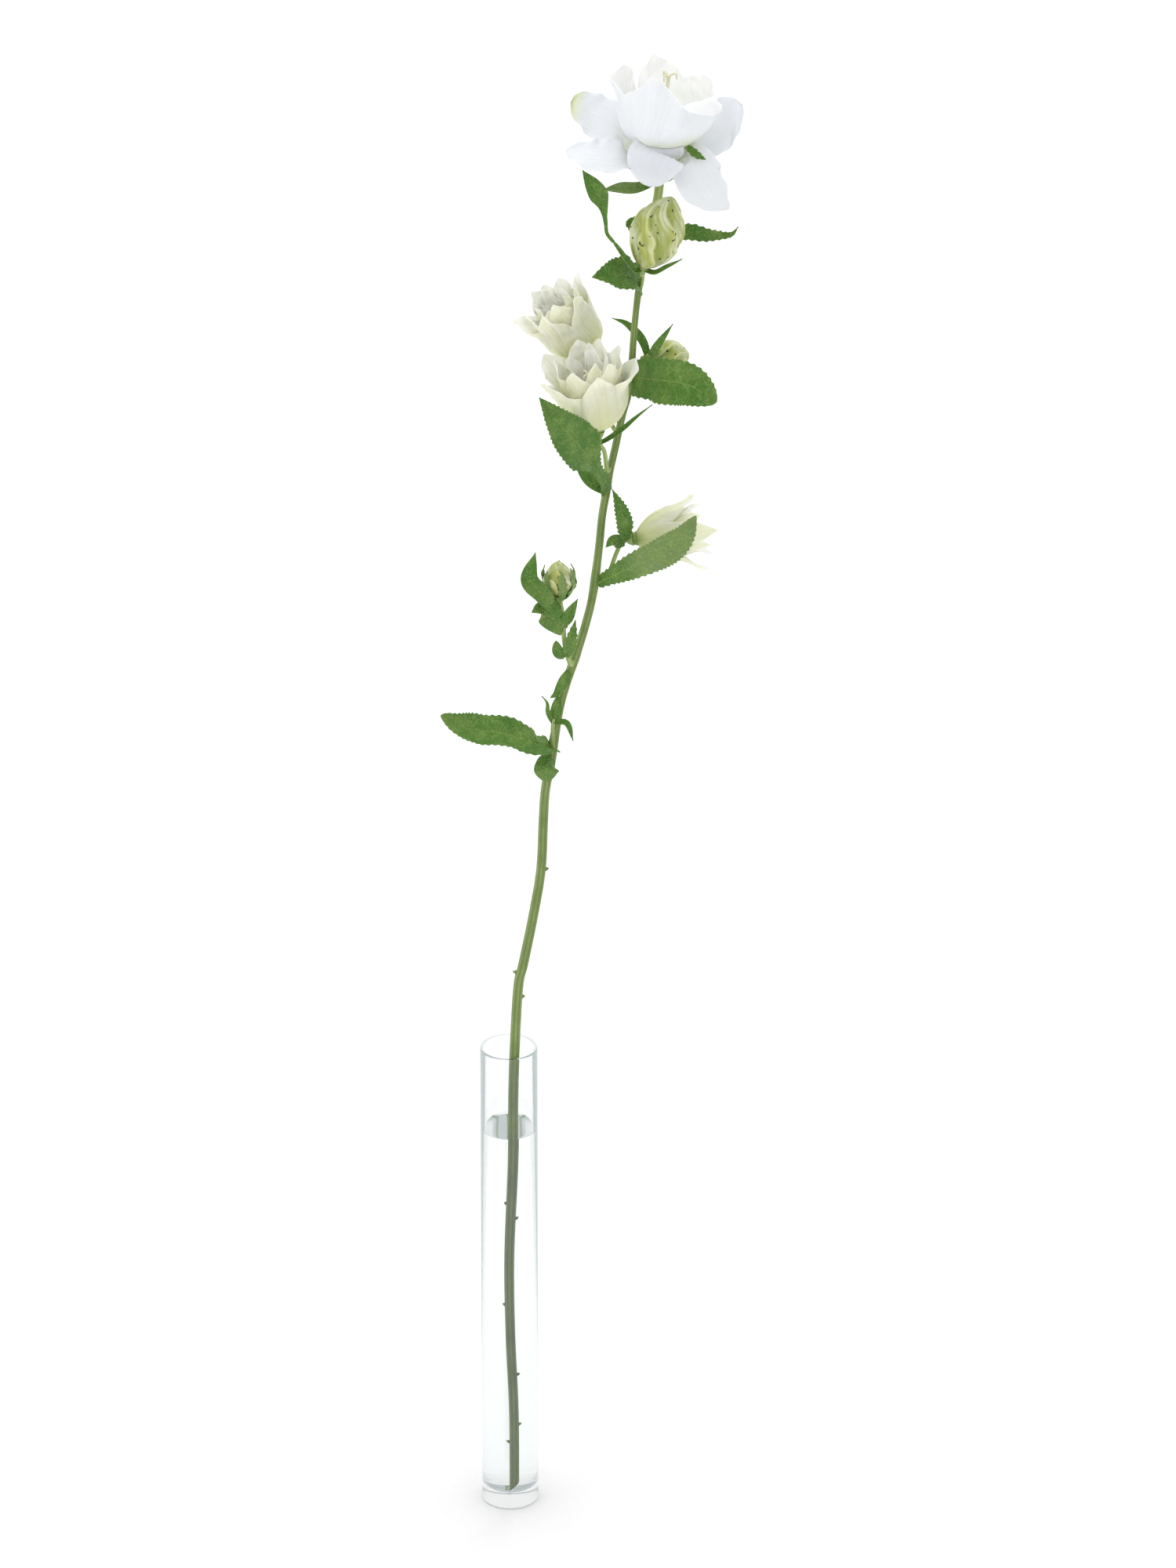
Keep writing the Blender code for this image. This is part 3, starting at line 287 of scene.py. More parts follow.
BLOOMS = (
    Bloom(
        "bloom_top", (0.0878, 0.0110, 0.8640), (0.0872, 0.0110, 0.9140), "white", "white outer",
        (
            Bell(0.0272, 23, (
                Lobe(0.80, 0.0262, 0.74, 0.0, 17, 1.6),
                Lobe(1.00, 0.0300, 0.62, 0.0, 9, 1.1),
                Lobe(0.95, 0.0320, 0.80, 0.0, -13, 3.4),
                Lobe(1.12, 0.0215, 0.90, 0.0, 9, 0.9),
                Lobe(1.10, 0.0395, 0.62, 0.0180, -1, 2.0, 7.0)), 0.0075, 0.65, 0.0050, 0.0026),
        ),
        (
            Blade(((0.0690, -0.0080, 0.8761), (0.0512, -0.0120, 0.8792), (0.0344, -0.0080, 0.8814)),
                  0.0150, (0.0, -0.3, 0.95), widest=0.62, foot=0.2, neck=1.3, bluntness=0.6, roll=15,
                  wave=0.001),
            Blade(((0.0647, 0.0250, 0.8806), (0.0490, 0.0270, 0.8880), (0.0370, 0.0240, 0.8975)),
                  0.0155, (0.3, -0.6, 0.75), widest=0.6, foot=0.2, bluntness=0.35, roll=20, wave=0.001,
                  green_tip=0.6),
            Blade(((0.0868, -0.0135, 0.8825), (0.0840, -0.0230, 0.8800), (0.0818, -0.0270, 0.8673)),
                  0.0165, (0.0, -0.7, 0.7), widest=0.65, foot=0.2, bluntness=0.5, roll=-12, wave=0.001),
            Blade(((0.1060, -0.0080, 0.8750), (0.1126, -0.0160, 0.8655), (0.1268, -0.0160, 0.8490)),
                  0.0158, (0.4, -0.7, 0.6), widest=0.6, foot=0.2, bluntness=0.72, roll=-15, wave=0.0014),
            Blade(((0.1093, 0.0240, 0.8730), (0.1240, 0.0260, 0.8830), (0.1345, 0.0240, 0.8960)),
                  0.0175, (-0.2, -0.55, 0.8), widest=0.6, foot=0.2, bluntness=0.4, roll=20, wave=0.001),
        ),
        ((0.0860, 0.0149, 0.8397), (0.0868, 0.0130, 0.8460)),
        (
            Blade(((0.0875, 0.0115, 0.8545), (0.0745, 0.0040, 0.8535), (0.0646, -0.0020, 0.8557),
                   (0.0553, -0.0060, 0.8565)), 0.0036, (0.0, -0.8, 0.6), widest=0.6, fold=15, pale=True),
            Blade(((0.0875, 0.0115, 0.8560), (0.0923, 0.0040, 0.8585), (0.0980, 0.0020, 0.8627)),
                  0.0015, (0.0, -0.8, 0.6), widest=0.5, foot=0.6, fold=20),
            Blade(((0.1030, -0.0050, 0.8826), (0.1082, -0.0080, 0.8790), (0.1136, -0.0090, 0.8762)),
                  0.0024, (0.0, -0.9, 0.4), foot=0.5, fold=18, toothed=True),
        ),
        0.0075,
        (0.0922, 0.0075, 0.9185),
        0.0026,
    ),
    Bloom(
        "bloom_upper_left", (0.0468, 0.0220, 0.7418), (0.0270, 0.0160, 0.7773), "cream", "cream outer",
        (
            Bell(0.0168, 180, (
                Lobe(1.02, 0.0265, 0.72), Lobe(1.10, 0.0180, 0.74), Lobe(1.08, 0.0180, 0.72),
                Lobe(1.12, 0.0215, 0.74), Lobe(1.06, 0.0185, 0.72)), rounding=0.5),
            Bell(0.0132, 211, (
                Lobe(1.06, 0.0190, 0.74), Lobe(1.12, 0.0165, 0.8), Lobe(1.10, 0.0150, 0.76),
                Lobe(1.08, 0.0165, 0.8), Lobe(1.12, 0.0160, 0.76)), 0.0022, crumple=0.0026),
            Bell(0.0095, 190, (
                Lobe(1.02, 0.0110, 0.8), Lobe(0.98, 0.0120, 0.76), Lobe(1.06, 0.0105, 0.8),
                Lobe(1.00, 0.0115, 0.74), Lobe(1.04, 0.0110, 0.8)), 0.0030, crumple=0.0030),
        ),
        (),
        ((0.7012, 0.0040), (0.0567, 0.0180, 0.7120), (0.0500, 0.0240, 0.7272)),
        (),
    ),
    Bloom(
        "bloom_middle", (0.0526, -0.0140, 0.7100), (0.0459, -0.0160, 0.7531), "cream", "cream outer",
        (
            Bell(0.0182, 0, (
                Lobe(0.98, 0.0300, 0.72), Lobe(1.10, 0.0205, 0.76), Lobe(0.98, 0.0315, 0.7),
                Lobe(0.96, 0.0300, 0.7), Lobe(0.98, 0.0225, 0.72)), rounding=0.45),
            Bell(0.0142, 31, (
                Lobe(1.02, 0.0215, 0.76), Lobe(1.14, 0.0170, 0.8), Lobe(1.04, 0.0190, 0.76),
                Lobe(0.98, 0.0165, 0.74), Lobe(1.04, 0.0180, 0.8)), 0.0022, crumple=0.0028),
            Bell(0.0102, 8, (
                Lobe(1.00, 0.0125, 0.8), Lobe(1.08, 0.0110, 0.78), Lobe(1.00, 0.0120, 0.8),
                Lobe(0.92, 0.0115, 0.74), Lobe(1.00, 0.0110, 0.8)), 0.0030, crumple=0.0032),
        ),
        (),
        ((0.6790, 0.0030), (0.0562, -0.0040, 0.6920), (0.0535, -0.0105, 0.7000)),
        (
            Blade(((0.0530, -0.0120, 0.7010), (0.0590, -0.0130, 0.7050), (0.0670, -0.0150, 0.7120),
                   (0.0760, -0.0140, 0.7200), (0.0836, -0.0120, 0.7255)),
                  0.0016, (-0.3, -0.8, 0.6), foot=0.7, widest=0.3, fold=15),
        ),
    ),
    Bloom(
        "bloom_lower_right", (0.0731, 0.0040, 0.6335), (0.1110, 0.0020, 0.6400), "cream", "cream outer",
        (
            Bell(0.0140, 0, (
                Lobe(1.00, 0.0220), Lobe(1.32, 0.0170), Lobe(1.10, 0.0240), Lobe(1.02, 0.0180),
                Lobe(0.90, 0.0190)), rounding=0.6),
            Bell(0.0100, 36, (
                Lobe(1.04, 0.0145), Lobe(1.12, 0.0140), Lobe(1.06, 0.0145), Lobe(0.98, 0.0145),
                Lobe(0.98, 0.0145)), 0.0022, rounding=0.6),
        ),
        (),
        ((0.6090, 0.0040), (0.0600, 0.0030, 0.6150), (0.0630, 0.0040, 0.6240)),
        (
            Blade(((0.0690, 0.0030, 0.6320), (0.0675, -0.0040, 0.6482), (0.0649, -0.0060, 0.6591),
                   (0.0608, -0.0060, 0.6695)), 0.0050, (0.2, -0.9, 0.3), foot=0.4, fold=12, toothed=True),
            Blade(((0.0680, 0.0030, 0.6310), (0.0613, -0.0040, 0.6358), (0.0570, -0.0080, 0.6336)),
                  0.0040, (0.0, -0.9, 0.4), foot=0.4, fold=10),
        ),
    ),
)

BUDS = (
    Bud(
        "bud_top", (0.0790, -0.0060, 0.8099), (0.0942, -0.0120, 0.8542), 0.0148,
        ((0.7930, 0.0025), (0.0779, -0.0035, 0.8020)),
        (
            Blade(((0.0783, -0.0057, 0.8075), (0.0728, -0.0120, 0.8090), (0.0680, -0.0190, 0.8190),
                   (0.0606, -0.0240, 0.8328)),
                  0.0022, (0.2, -0.6, 0.8), foot=0.6, fold=25, bluntness=0.4),
            Blade(((0.0612, -0.0236, 0.8318), (0.0575, -0.0250, 0.8380), (0.0566, -0.0240, 0.8458),
                   (0.0535, -0.0220, 0.8584), (0.0437, -0.0160, 0.8727)),
                  0.0056, (0.3, -0.9, 0.1), foot=0.18, neck=5.0, widest=0.64, fold=8, wave=0.0006),
            Blade(((0.0790, -0.0060, 0.8070), (0.0850, -0.0120, 0.8080), (0.0925, -0.0190, 0.8150),
                   (0.1003, -0.0220, 0.8205)),
                  0.0018, (0.0, -0.6, 0.8), foot=0.8, fold=10),
        ),
    ),
    Bud(
        "bud_right", (0.0841, 0.0060, 0.7470), (0.1047, 0.0020, 0.7503), 0.0095,
        ((0.7400, 0.0030), (0.0785, 0.0080, 0.7425)),
        (
            Blade(((0.0815, 0.0065, 0.7455), (0.0775, 0.0110, 0.7560), (0.0690, 0.0150, 0.7640),
                   (0.0607, 0.0160, 0.7673)), 0.0027, (0.3, -0.8, 0.5), foot=0.6, fold=15),
            Blade(((0.0820, 0.0060, 0.7470), (0.0850, -0.0040, 0.7560), (0.0900, -0.0080, 0.7660),
                   (0.0952, -0.0080, 0.7741)), 0.0027, (-0.3, -0.8, 0.5), foot=0.6, fold=15),
        ),
    ),
    Bud(
        "bud_left", (0.0305, -0.0200, 0.6090), (0.0292, -0.0200, 0.6300), 0.0085,
        (),
        (),
    ),
)

# The leafy shoots: the path of each one's stalk, and its blades
SIDE_BRANCH_LINE = ((0.5590, 0.0030), (0.0332, -0.0140, 0.5754), (0.0323, -0.0180, 0.5924),
                    (0.0306, -0.0200, 0.6046))
SIDE_BRANCH_BLADES = (
    Blade(((0.0306, -0.0200, 0.6030), (0.0255, -0.0275, 0.6065), (0.0200, -0.0315, 0.6150),
           (0.0130, -0.0325, 0.6250), (0.0166, -0.0280, 0.6395)),
          0.0055, (0.2, -0.9, 0.4), foot=0.5, widest=0.6, fold=10, wave=0.0006),
    Blade(((0.0325, -0.0175, 0.5850), (0.0251, -0.0260, 0.5971), (0.0197, -0.0300, 0.6040),
           (0.0143, -0.0340, 0.6044)), 0.0070, (-0.2, -0.7, 0.6), foot=0.5, widest=0.6, fold=14, wave=0.0008),
    Blade(((0.0323, -0.0178, 0.5880), (0.0364, -0.0230, 0.5992), (0.0409, -0.0220, 0.6072)),
          0.0036, (0.2, -0.9, 0.3), foot=0.5, fold=15),
    Blade(((0.0336, -0.0110, 0.5650), (0.0364, -0.0180, 0.5764), (0.0396, -0.0190, 0.5924)),
          0.0038, (0.1, -0.9, 0.3), foot=0.5, fold=15, toothed=True),
    Blade(((0.0334, -0.0120, 0.5660), (0.0295, -0.0160, 0.5710), (0.0282, -0.0165, 0.5779)),
          0.0035, (0.0, -0.9, 0.3), foot=0.5, bluntness=0.6, fold=10),
)
SIDE_SHOOT_LINE = ((0.5070, 0.0030), (0.0263, -0.0145, 0.5200), (0.0268, -0.0145, 0.5270))
SIDE_SHOOT_BLADES = (
    Blade(((0.0268, -0.0145, 0.5255), (0.0283, -0.0145, 0.5326), (0.0296, -0.0105, 0.5395)),
          0.0034, (0.0, -1.0, 0.2), foot=0.7, bluntness=0.5, fold=-20),
    Blade(((0.0266, -0.0145, 0.5240), (0.0236, -0.0160, 0.5316), (0.0231, -0.0160, 0.5377),
           (0.0200, -0.0160, 0.5422)), 0.0014, (0.0, -1.0, 0.2), foot=0.8, widest=0.3, fold=10),
    Blade(((0.0268, -0.0145, 0.5250), (0.0345, -0.0180, 0.5255), (0.0382, -0.0210, 0.5158)),
          0.0019, (0.3, -0.7, 0.6), foot=0.6, fold=15),
)


# What a user would change


def length(name, description, default):
    return bpy.props.FloatProperty(name=name, description=description, default=default, min=0.0,
                                   precision=5, unit="LENGTH")


def colour(name, description, text):
    return bpy.props.FloatVectorProperty(name=name, description=description, default=linear(text),
                                         size=4, min=0.0, max=1.0, subtype="COLOR")


class BELLFLOWER_PG_vase(bpy.types.PropertyGroup):
    """The glass cylinder and its water."""

    height: length("Height", "From the underside to the rim", 0.305)
    radius: length("Radius", "Outside of the wall", 0.017)
    wall: length("Wall", "Thickness of the glass wall", 0.0018)
    floor: length("Floor", "Thickness of the glass floor", 0.0095)
    water_level: length("Water level", "Height of the water over the underside", 0.2515)
    glass: colour("Glass", "Tint of the glass", "FCFDFD")
    water: colour("Water", "Tint of the water", "FEFFFF")


class BELLFLOWER_PG_stem(bpy.types.PropertyGroup):
    """The main stem and its hairs."""

    radius: length("Foot radius", "The stem's radius at its foot", 0.0031)
    top_radius: length("Top radius", "The stem's radius at its top", 0.0016)
    ribs: bpy.props.IntProperty(name="Ribs", description="Ribs round the stem", default=7, min=3)
    hairs: bpy.props.IntProperty(name="Hairs", description="Hairs on a square centimetre", default=30, min=0)
    hair_length: length("Hair length", "The longest hair", 0.0011)
    crest: colour("Rib", "Colour on a rib's crest", "9DAE6A")
    groove: colour("Groove", "Colour between the ribs", "647C38")
    young_crest: colour("Stalk rib", "Colour on the ribs of cups and young stalks", "C3D093")
    young_groove: colour("Stalk groove", "Colour between the ribs of cups and young stalks", "8AA254")


class BELLFLOWER_PG_leaf(bpy.types.PropertyGroup):
    """The leaves' blades."""

    thickness: length("Thickness", "Thickness of a leaf", 0.0005)
    tooth: length("Tooth", "Depth of a tooth in the edge", 0.0009)
    vein_depth: length("Vein depth", "How deep a vein lies in the upper side", 0.00035)
    upper: colour("Upper side", "Colour of the upper side", "4B7E21")
    underside: colour("Underside", "Colour of the underside", "7C9859")
    vein: colour("Veins", "Colour of the veins", "9AB35C")


class BELLFLOWER_PG_bloom(bpy.types.PropertyGroup):
    """The petals, buds and pistils."""

    thickness: length("Thickness", "Thickness of a petal", 0.0005)
    ripple: length("Ripple", "How far the rim waves in and out", 0.0011)
    white: colour("White petal, inner", "Colour of the open bloom's inner side", "F8F9FC")
    # White petal, outer: a greyer copy of the inner white, painted shade on the open bloom's outside and saucer
    white_outer_painted_shade: colour("White petal, outer", "Colour of the open bloom's outer side and saucer", "E5E8EF")
    cream: colour("Cream petal, inner", "Colour of the half-open blooms' inner side", "F9F9F0")
    # Cream petal, outer: a greyer copy of the inner cream, painted shade on the half-open blooms' outside
    cream_outer_painted_shade: colour("Cream petal, outer", "Colour of the half-open blooms' outer side", "F4F5D9")
    base: colour("Petal base", "Colour where petals meet the cup", "D4DB94")
    bud: colour("Bud", "Colour of the closed buds", "C3C96C")
    style: colour("Style", "Colour of the pistils", "D2CC8C")


GROUPS = {
    "bellflower_vase": BELLFLOWER_PG_vase,
    "bellflower_stem": BELLFLOWER_PG_stem,
    "bellflower_leaf": BELLFLOWER_PG_leaf,
    "bellflower_bloom": BELLFLOWER_PG_bloom,
}


def hugging_sepals(bud):
    """Fringed sepals that lie round a bud from its cup to near its tip."""
    span, axis, first, other = axis_frame(bud.base, bud.tip)
    sepals = []
    for degrees in SEPAL_DIRECTIONS:
        out = first * math.cos(math.radians(degrees)) + other * math.sin(math.radians(degrees))
        spine = [Vector(bud.base) + axis * span * rise + out * bud.radius * reach for rise, reach in SEPAL_LINE]
        sepals.append(Blade(tuple(tuple(point) for point in spine), SEPAL_HALF_WIDTH, tuple(out), foot=0.5,
                            widest=0.5, bluntness=0.8, fold=-12, wave=0.0008, toothed=True))
    return sepals


# Nodes and finishes


def add_node(tree, kind, inputs=None, **settings):
    """Add a node with its properties, and set or link its input sockets by name or number."""
    made = tree.nodes.new(kind)
    for name, value in settings.items():
        setattr(made, name, value)
    for key, value in (inputs or {}).items():
        socket = made.inputs[key]
        if isinstance(value, bpy.types.NodeSocket):
            tree.links.new(value, socket)
        else:
            socket.default_value = value
    return made


def new_finish(name, **sockets):
    """A material with one Principled shader, and its tree and shader to build on."""
    finish = bpy.data.materials.new(name)
    finish.use_nodes = True
    shader = finish.node_tree.nodes["Principled BSDF"]
    for socket, value in sockets.items():
        shader.inputs[socket.replace("_", " ")].default_value = value
    return finish, finish.node_tree, shader


def attribute(tree, name):
    return add_node(tree, "ShaderNodeAttribute", attribute_name=name).outputs["Fac"]


def mix(tree, share, low, high):
    """One colour turns to another by a share."""
    return add_node(tree, "ShaderNodeMix", {0: share, 6: low, 7: high}, data_type="RGBA").outputs[2]


def ramp(tree, value, low, high):
    """A value stretched so that low gives 0 and high gives 1."""
    return add_node(tree, "ShaderNodeMapRange", {"Value": value, "From Min": low, "From Max": high}).outputs[0]


def grain(tree, size_mm, stretch=(1, 1, 1), detail=3.0, source=None):
    """Noise whose blotches are about size_mm across, in object space or along another vector."""
    place = source or add_node(tree, "ShaderNodeTexCoord").outputs["Object"]
    spread = add_node(tree, "ShaderNodeMapping", {"Vector": place, "Scale": stretch})
    noise_node = add_node(tree, "ShaderNodeTexNoise", {
        "Vector": spread.outputs[0], "Scale": 1000 / (2 * size_mm), "Detail": detail})
    return noise_node.outputs["Fac"]


def relief(tree, shader, height, depth):
    """Bump of a real depth in metres."""
    bump = add_node(tree, "ShaderNodeBump", {"Height": height, "Distance": depth, "Strength": 1.0})
    tree.links.new(bump.outputs[0], shader.inputs["Normal"])


def vein_net(tree, cell_mm):
    """Distance to the nearest vein of a net whose cells are about cell_mm across, as a share of a cell."""
    place = add_node(tree, "ShaderNodeTexCoord").outputs["Object"]
    net = add_node(tree, "ShaderNodeTexVoronoi", {"Vector": place, "Scale": 1000 / cell_mm},
                   feature="DISTANCE_TO_EDGE")
    return net.outputs["Distance"]


def lets_light_through(tree, shader, shade):
    """Lamps shine through the glass or water, and rays caught between its walls leave it with a shade."""
    clear = add_node(tree, "ShaderNodeBsdfTransparent")
    dimmed = add_node(tree, "ShaderNodeBsdfTransparent", {"Color": linear(shade)})
    ray = add_node(tree, "ShaderNodeLightPath").outputs
    caught = add_node(tree, "ShaderNodeMath", {0: ray["Glossy Depth"], 1: CAUGHT_RAY}, operation="GREATER_THAN")
    freed = add_node(tree, "ShaderNodeMixShader", {0: caught.outputs[0], 1: shader.outputs[0],
                                                   2: dimmed.outputs[0]})
    either = add_node(tree, "ShaderNodeMixShader", {0: ray["Is Shadow Ray"], 1: freed.outputs[0],
                                                    2: clear.outputs[0]})
    tree.links.new(either.outputs[0], tree.nodes["Material Output"].inputs["Surface"])


def once(make):
    """Keep a finish after its first use."""
    made = {}

    def finish(*words):
        if words not in made:
            made[words] = make(*words)
        return made[words]
    return finish


@once
def drawn_glass():
    """Clear soda-lime tube, fire polished: bright edges, faint draw lines, and a grey-green rim that is painted
    shade on rays caught in the wall.
    """
    tint = bpy.context.scene.bellflower_vase.glass
    finish, tree, shader = new_finish("clear soda-lime glass, drawn", Roughness=0.0, IOR=1.5,
                                      Transmission_Weight=1.0, Specular_IOR_Level=0.3, Base_Color=tint)
    draw_lines = grain(tree, 6, (1, 1, 0.05), 1.0)
    relief(tree, shader, draw_lines, 0.00002)
    # E2E6E6 is painted shade: each crossing of a caught ray greys it, which draws the rim and edges
    lets_light_through(tree, shader, "E2E6E6")
    return finish


@once
def still_water():
    """Clear tap water, a few days old: hardly tinted, with a slow swell that bends what stands in it."""
    tint = bpy.context.scene.bellflower_vase.water
    finish, tree, shader = new_finish("clear water, still", Roughness=0.0, IOR=1.333,
                                      Transmission_Weight=1.0, Specular_IOR_Level=0.3, Base_Color=tint)
    relief(tree, shader, grain(tree, 20, (1, 1, 0.3), 1.0), 0.00002)
    lets_light_through(tree, shader, "FFFFFF")
    return finish


@once
def ribbed_stem(kind="stem"):
    """Living stem with ribs: pale crests, darker grooves, and streaks that run with it. Young stalks are paler."""
    colours = bpy.context.scene.bellflower_stem
    groove = colours.groove if kind == "stem" else colours.young_groove
    crest = colours.crest if kind == "stem" else colours.young_crest
    finish, tree, shader = new_finish("green stem, ribbed" if kind == "stem" else "young stalk, ribbed",
                                      Roughness=0.5, Subsurface_Weight=0.1, Subsurface_Scale=0.001,
                                      Subsurface_Radius=(0.6, 1.0, 0.3))
    streak = grain(tree, 0.5, (1, 1, 0.03))
    blotch = grain(tree, 9)
    rib = ramp(tree, attribute(tree, "rib"), -0.9, 0.9)
    ribbed = add_node(tree, "ShaderNodeMath", {0: rib, 1: streak}, operation="MULTIPLY_ADD")
    ribbed.inputs[2].default_value = 0.1
    base = mix(tree, ribbed.outputs[0], groove, crest)
    shaded = mix(tree, ramp(tree, blotch, 0.45, 0.75), base, groove)
    tree.links.new(shaded, shader.inputs["Base Color"])
    relief(tree, shader, streak, 0.0002)
    return finish


@once
def leaf_face(side):
    """Soft herb leaf: matt with sunken pale veins above, paler with raised veins below."""
    colours = bpy.context.scene.bellflower_leaf
    face = colours.upper if side == "upper" else colours.underside
    finish, tree, shader = new_finish("bellflower leaf, " + side, Roughness=0.48 if side == "upper" else 0.6,
                                      Subsurface_Weight=0.15, Subsurface_Scale=0.0008,
                                      Subsurface_Radius=(0.6, 1.0, 0.3))
    vein = attribute(tree, "vein")
    if side == "underside":
        face = mix(tree, ramp(tree, attribute(tree, "rise"), 0.45, 0.25), face, colours.upper)
    fresh = mix(tree, 0.4, face, colours.vein)
    mottled = mix(tree, ramp(tree, grain(tree, 6), 0.42, 0.75), face, fresh)
    net = vein_net(tree, 1.8)
    netted = mix(tree, ramp(tree, net, 0.12, -0.35), mottled, colours.vein)
    veined = mix(tree, ramp(tree, vein, 0.1, 1.5), netted, colours.vein)
    tree.links.new(veined, shader.inputs["Base Color"])
    relief(tree, shader, ramp(tree, net, 0.0, 0.35), 0.0006 if side == "upper" else -0.0006)
    return finish


@once
def petal_face(kind):
    """Thin petal tissue: pearly and translucent, veined lengthwise, green where it meets the cup. The outer kinds
    are greyer copies of the inner tissue: painted shade on the bloom's outside.
    """
    colours = bpy.context.scene.bellflower_bloom
    tissue = {"white": colours.white, "white outer": colours.white_outer_painted_shade, "cream": colours.cream,
              "cream outer": colours.cream_outer_painted_shade}[kind]
    finish, tree, shader = new_finish("bellflower petal, " + kind, Roughness=0.55, Subsurface_Weight=1.0,
                                      Subsurface_Scale=0.0015, Subsurface_Radius=(1.0, 1.0, 0.9))
    uv = add_node(tree, "ShaderNodeUVMap", uv_map="petal").outputs[0]
    streak = grain(tree, 500, (90, 5, 1), 2.0, uv)
    vein = attribute(tree, "vein")
    rise = attribute(tree, "rise")
    faint = mix(tree, 0.3 if "cream" in kind else 0.06, tissue, colours.base)
    veined = mix(tree, ramp(tree, vein, 0.0, 1.5), tissue, faint)
    streaked = mix(tree, ramp(tree, streak, 0.5, 1.1), veined, faint)
    based = mix(tree, ramp(tree, rise, 0.85 if "cream" in kind else 0.4, 0.0), streaked, colours.base)
    rooted = mix(tree, ramp(tree, rise, 0.2, 0.0), based, linear("86A050"))
    tree.links.new(rooted, shader.inputs["Base Color"])
    relief(tree, shader, streak, 0.0005 if "cream" in kind else 0.0003)
    return finish


@once
def bud_face():
    """Closed petals in pleats: yellow green, greener along the veins, with painted shade darkening the tucked side
    of each fold and a paler overlapping edge.
    """
    colours = bpy.context.scene.bellflower_bloom
    finish, tree, shader = new_finish("bellflower bud, pleated", Roughness=0.42, Subsurface_Weight=0.3,
                                      Subsurface_Scale=0.001, Subsurface_Radius=(0.8, 1.0, 0.4))
    vein = attribute(tree, "vein")
    pleat = attribute(tree, "pleat")
    # dark: olive green for the veins, and painted shade on the tucked side of each fold
    dark = mix(tree, 0.7, colours.bud, linear("7C9038"))
    pale = mix(tree, 0.6, colours.bud, colours.cream)
    # Each petal darkens towards the side tucked under its neighbour, painted shade, and pales at its overlapping
    # edge
    body = mix(tree, ramp(tree, pleat, 0.1, 0.9), dark, colours.bud)
    edged = mix(tree, ramp(tree, pleat, 0.8, 1.0), body, pale)
    mottled = mix(tree, ramp(tree, grain(tree, 4, (1, 1, 0.4)), 0.4, 0.7), edged, pale)
    veined = mix(tree, ramp(tree, vein, 0.0, 1.6), mottled, dark)
    specks = ramp(tree, grain(tree, 1.2, detail=0.0), 0.74, 0.78)
    tree.links.new(mix(tree, specks, veined, linear("3E4A22")), shader.inputs["Base Color"])
    relief(tree, shader, grain(tree, 0.6), 0.0002)
    return finish


@once
def style_face():
    """Style and stigma: matt cream with a dusting that roughens it."""
    colours = bpy.context.scene.bellflower_bloom
    finish, tree, shader = new_finish("bellflower style, downy", Roughness=0.7, Subsurface_Weight=0.2,
                                      Subsurface_Scale=0.001)
    dust = grain(tree, 0.3)
    tree.links.new(mix(tree, dust, colours.style, colours.cream), shader.inputs["Base Color"])
    relief(tree, shader, dust, 0.0003)
    return finish


@once
def hair_face():
    """Stiff plant hairs: glassy white green."""
    finish, tree, shader = new_finish("bellflower hairs", Roughness=0.4)
    tree.links.new(mix(tree, grain(tree, 3), linear("C9D3A6"), linear("E6EAD2")), shader.inputs["Base Color"])
    return finish


# Objects and meshes


def add_object(name, data):
    item = bpy.data.objects.new(name, data)
    bpy.context.scene.collection.objects.link(item)
    return item


def plain_mesh(item):
    """Turn what an object's modifiers give into its own plain mesh."""
    depsgraph = bpy.context.evaluated_depsgraph_get()
    mesh = bpy.data.meshes.new_from_object(item.evaluated_get(depsgraph))
    item.modifiers.clear()
    item.data = mesh
    mesh.name = item.name
    return item


def outward(item):
    """Weld doubles and turn every face outwards."""
    work = bmesh.new()
    work.from_mesh(item.data)
    bmesh.ops.remove_doubles(work, verts=work.verts, dist=0.0000005)
    bmesh.ops.recalc_face_normals(work, faces=work.faces)
    work.to_mesh(item.data)
    work.free()
    return item


def joined(name, items):
    """Several finished parts as one piece."""
    with bpy.context.temp_override(active_object=items[0], selected_editable_objects=items):
        bpy.ops.object.join()
    items[0].name = name
    items[0].data.name = name
    items[0].data.shade_smooth()
    items[0].data.set_sharp_from_angle(angle=math.radians(55))
    return items[0]


def hand_over(item, slot, *nodes):
    """The piece rides on the part and stands for its CAD nodes."""
    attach(item, "root")
    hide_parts(*nodes)


def new_tree(name, sizes):
    """A Geometry Nodes tree with a mesh in and out and named sizes."""
    tree = bpy.data.node_groups.new(name, "GeometryNodeTree")
    tree.interface.new_socket("Geometry", in_out="INPUT", socket_type="NodeSocketGeometry")
    tree.interface.new_socket("Geometry", in_out="OUTPUT", socket_type="NodeSocketGeometry")
    for size, kind in sizes.items():
        tree.interface.new_socket(size, in_out="INPUT", socket_type="NodeSocket" + kind)
    return tree, tree.nodes.new("NodeGroupInput").outputs


def close_tree(tree, geometry, finish):
    """Real geometry with its material, out of the tree."""
    real = add_node(tree, "GeometryNodeRealizeInstances", {"Geometry": geometry})
    dressed = add_node(tree, "GeometryNodeSetMaterial", {"Geometry": real.outputs[0], "Material": finish})
    add_node(tree, "NodeGroupOutput", {0: dressed.outputs[0]})
    return tree


def run_tree(item, tree, sizes):
    """Give an object a tree with its sizes, and keep what comes out."""
    grow = item.modifiers.new("grow", "NODES")
    grow.node_group = tree
    for socket in tree.interface.items_tree:
        if socket.in_out == "INPUT" and socket.name in sizes:
            grow[socket.identifier] = sizes[socket.name]
    return plain_mesh(item)


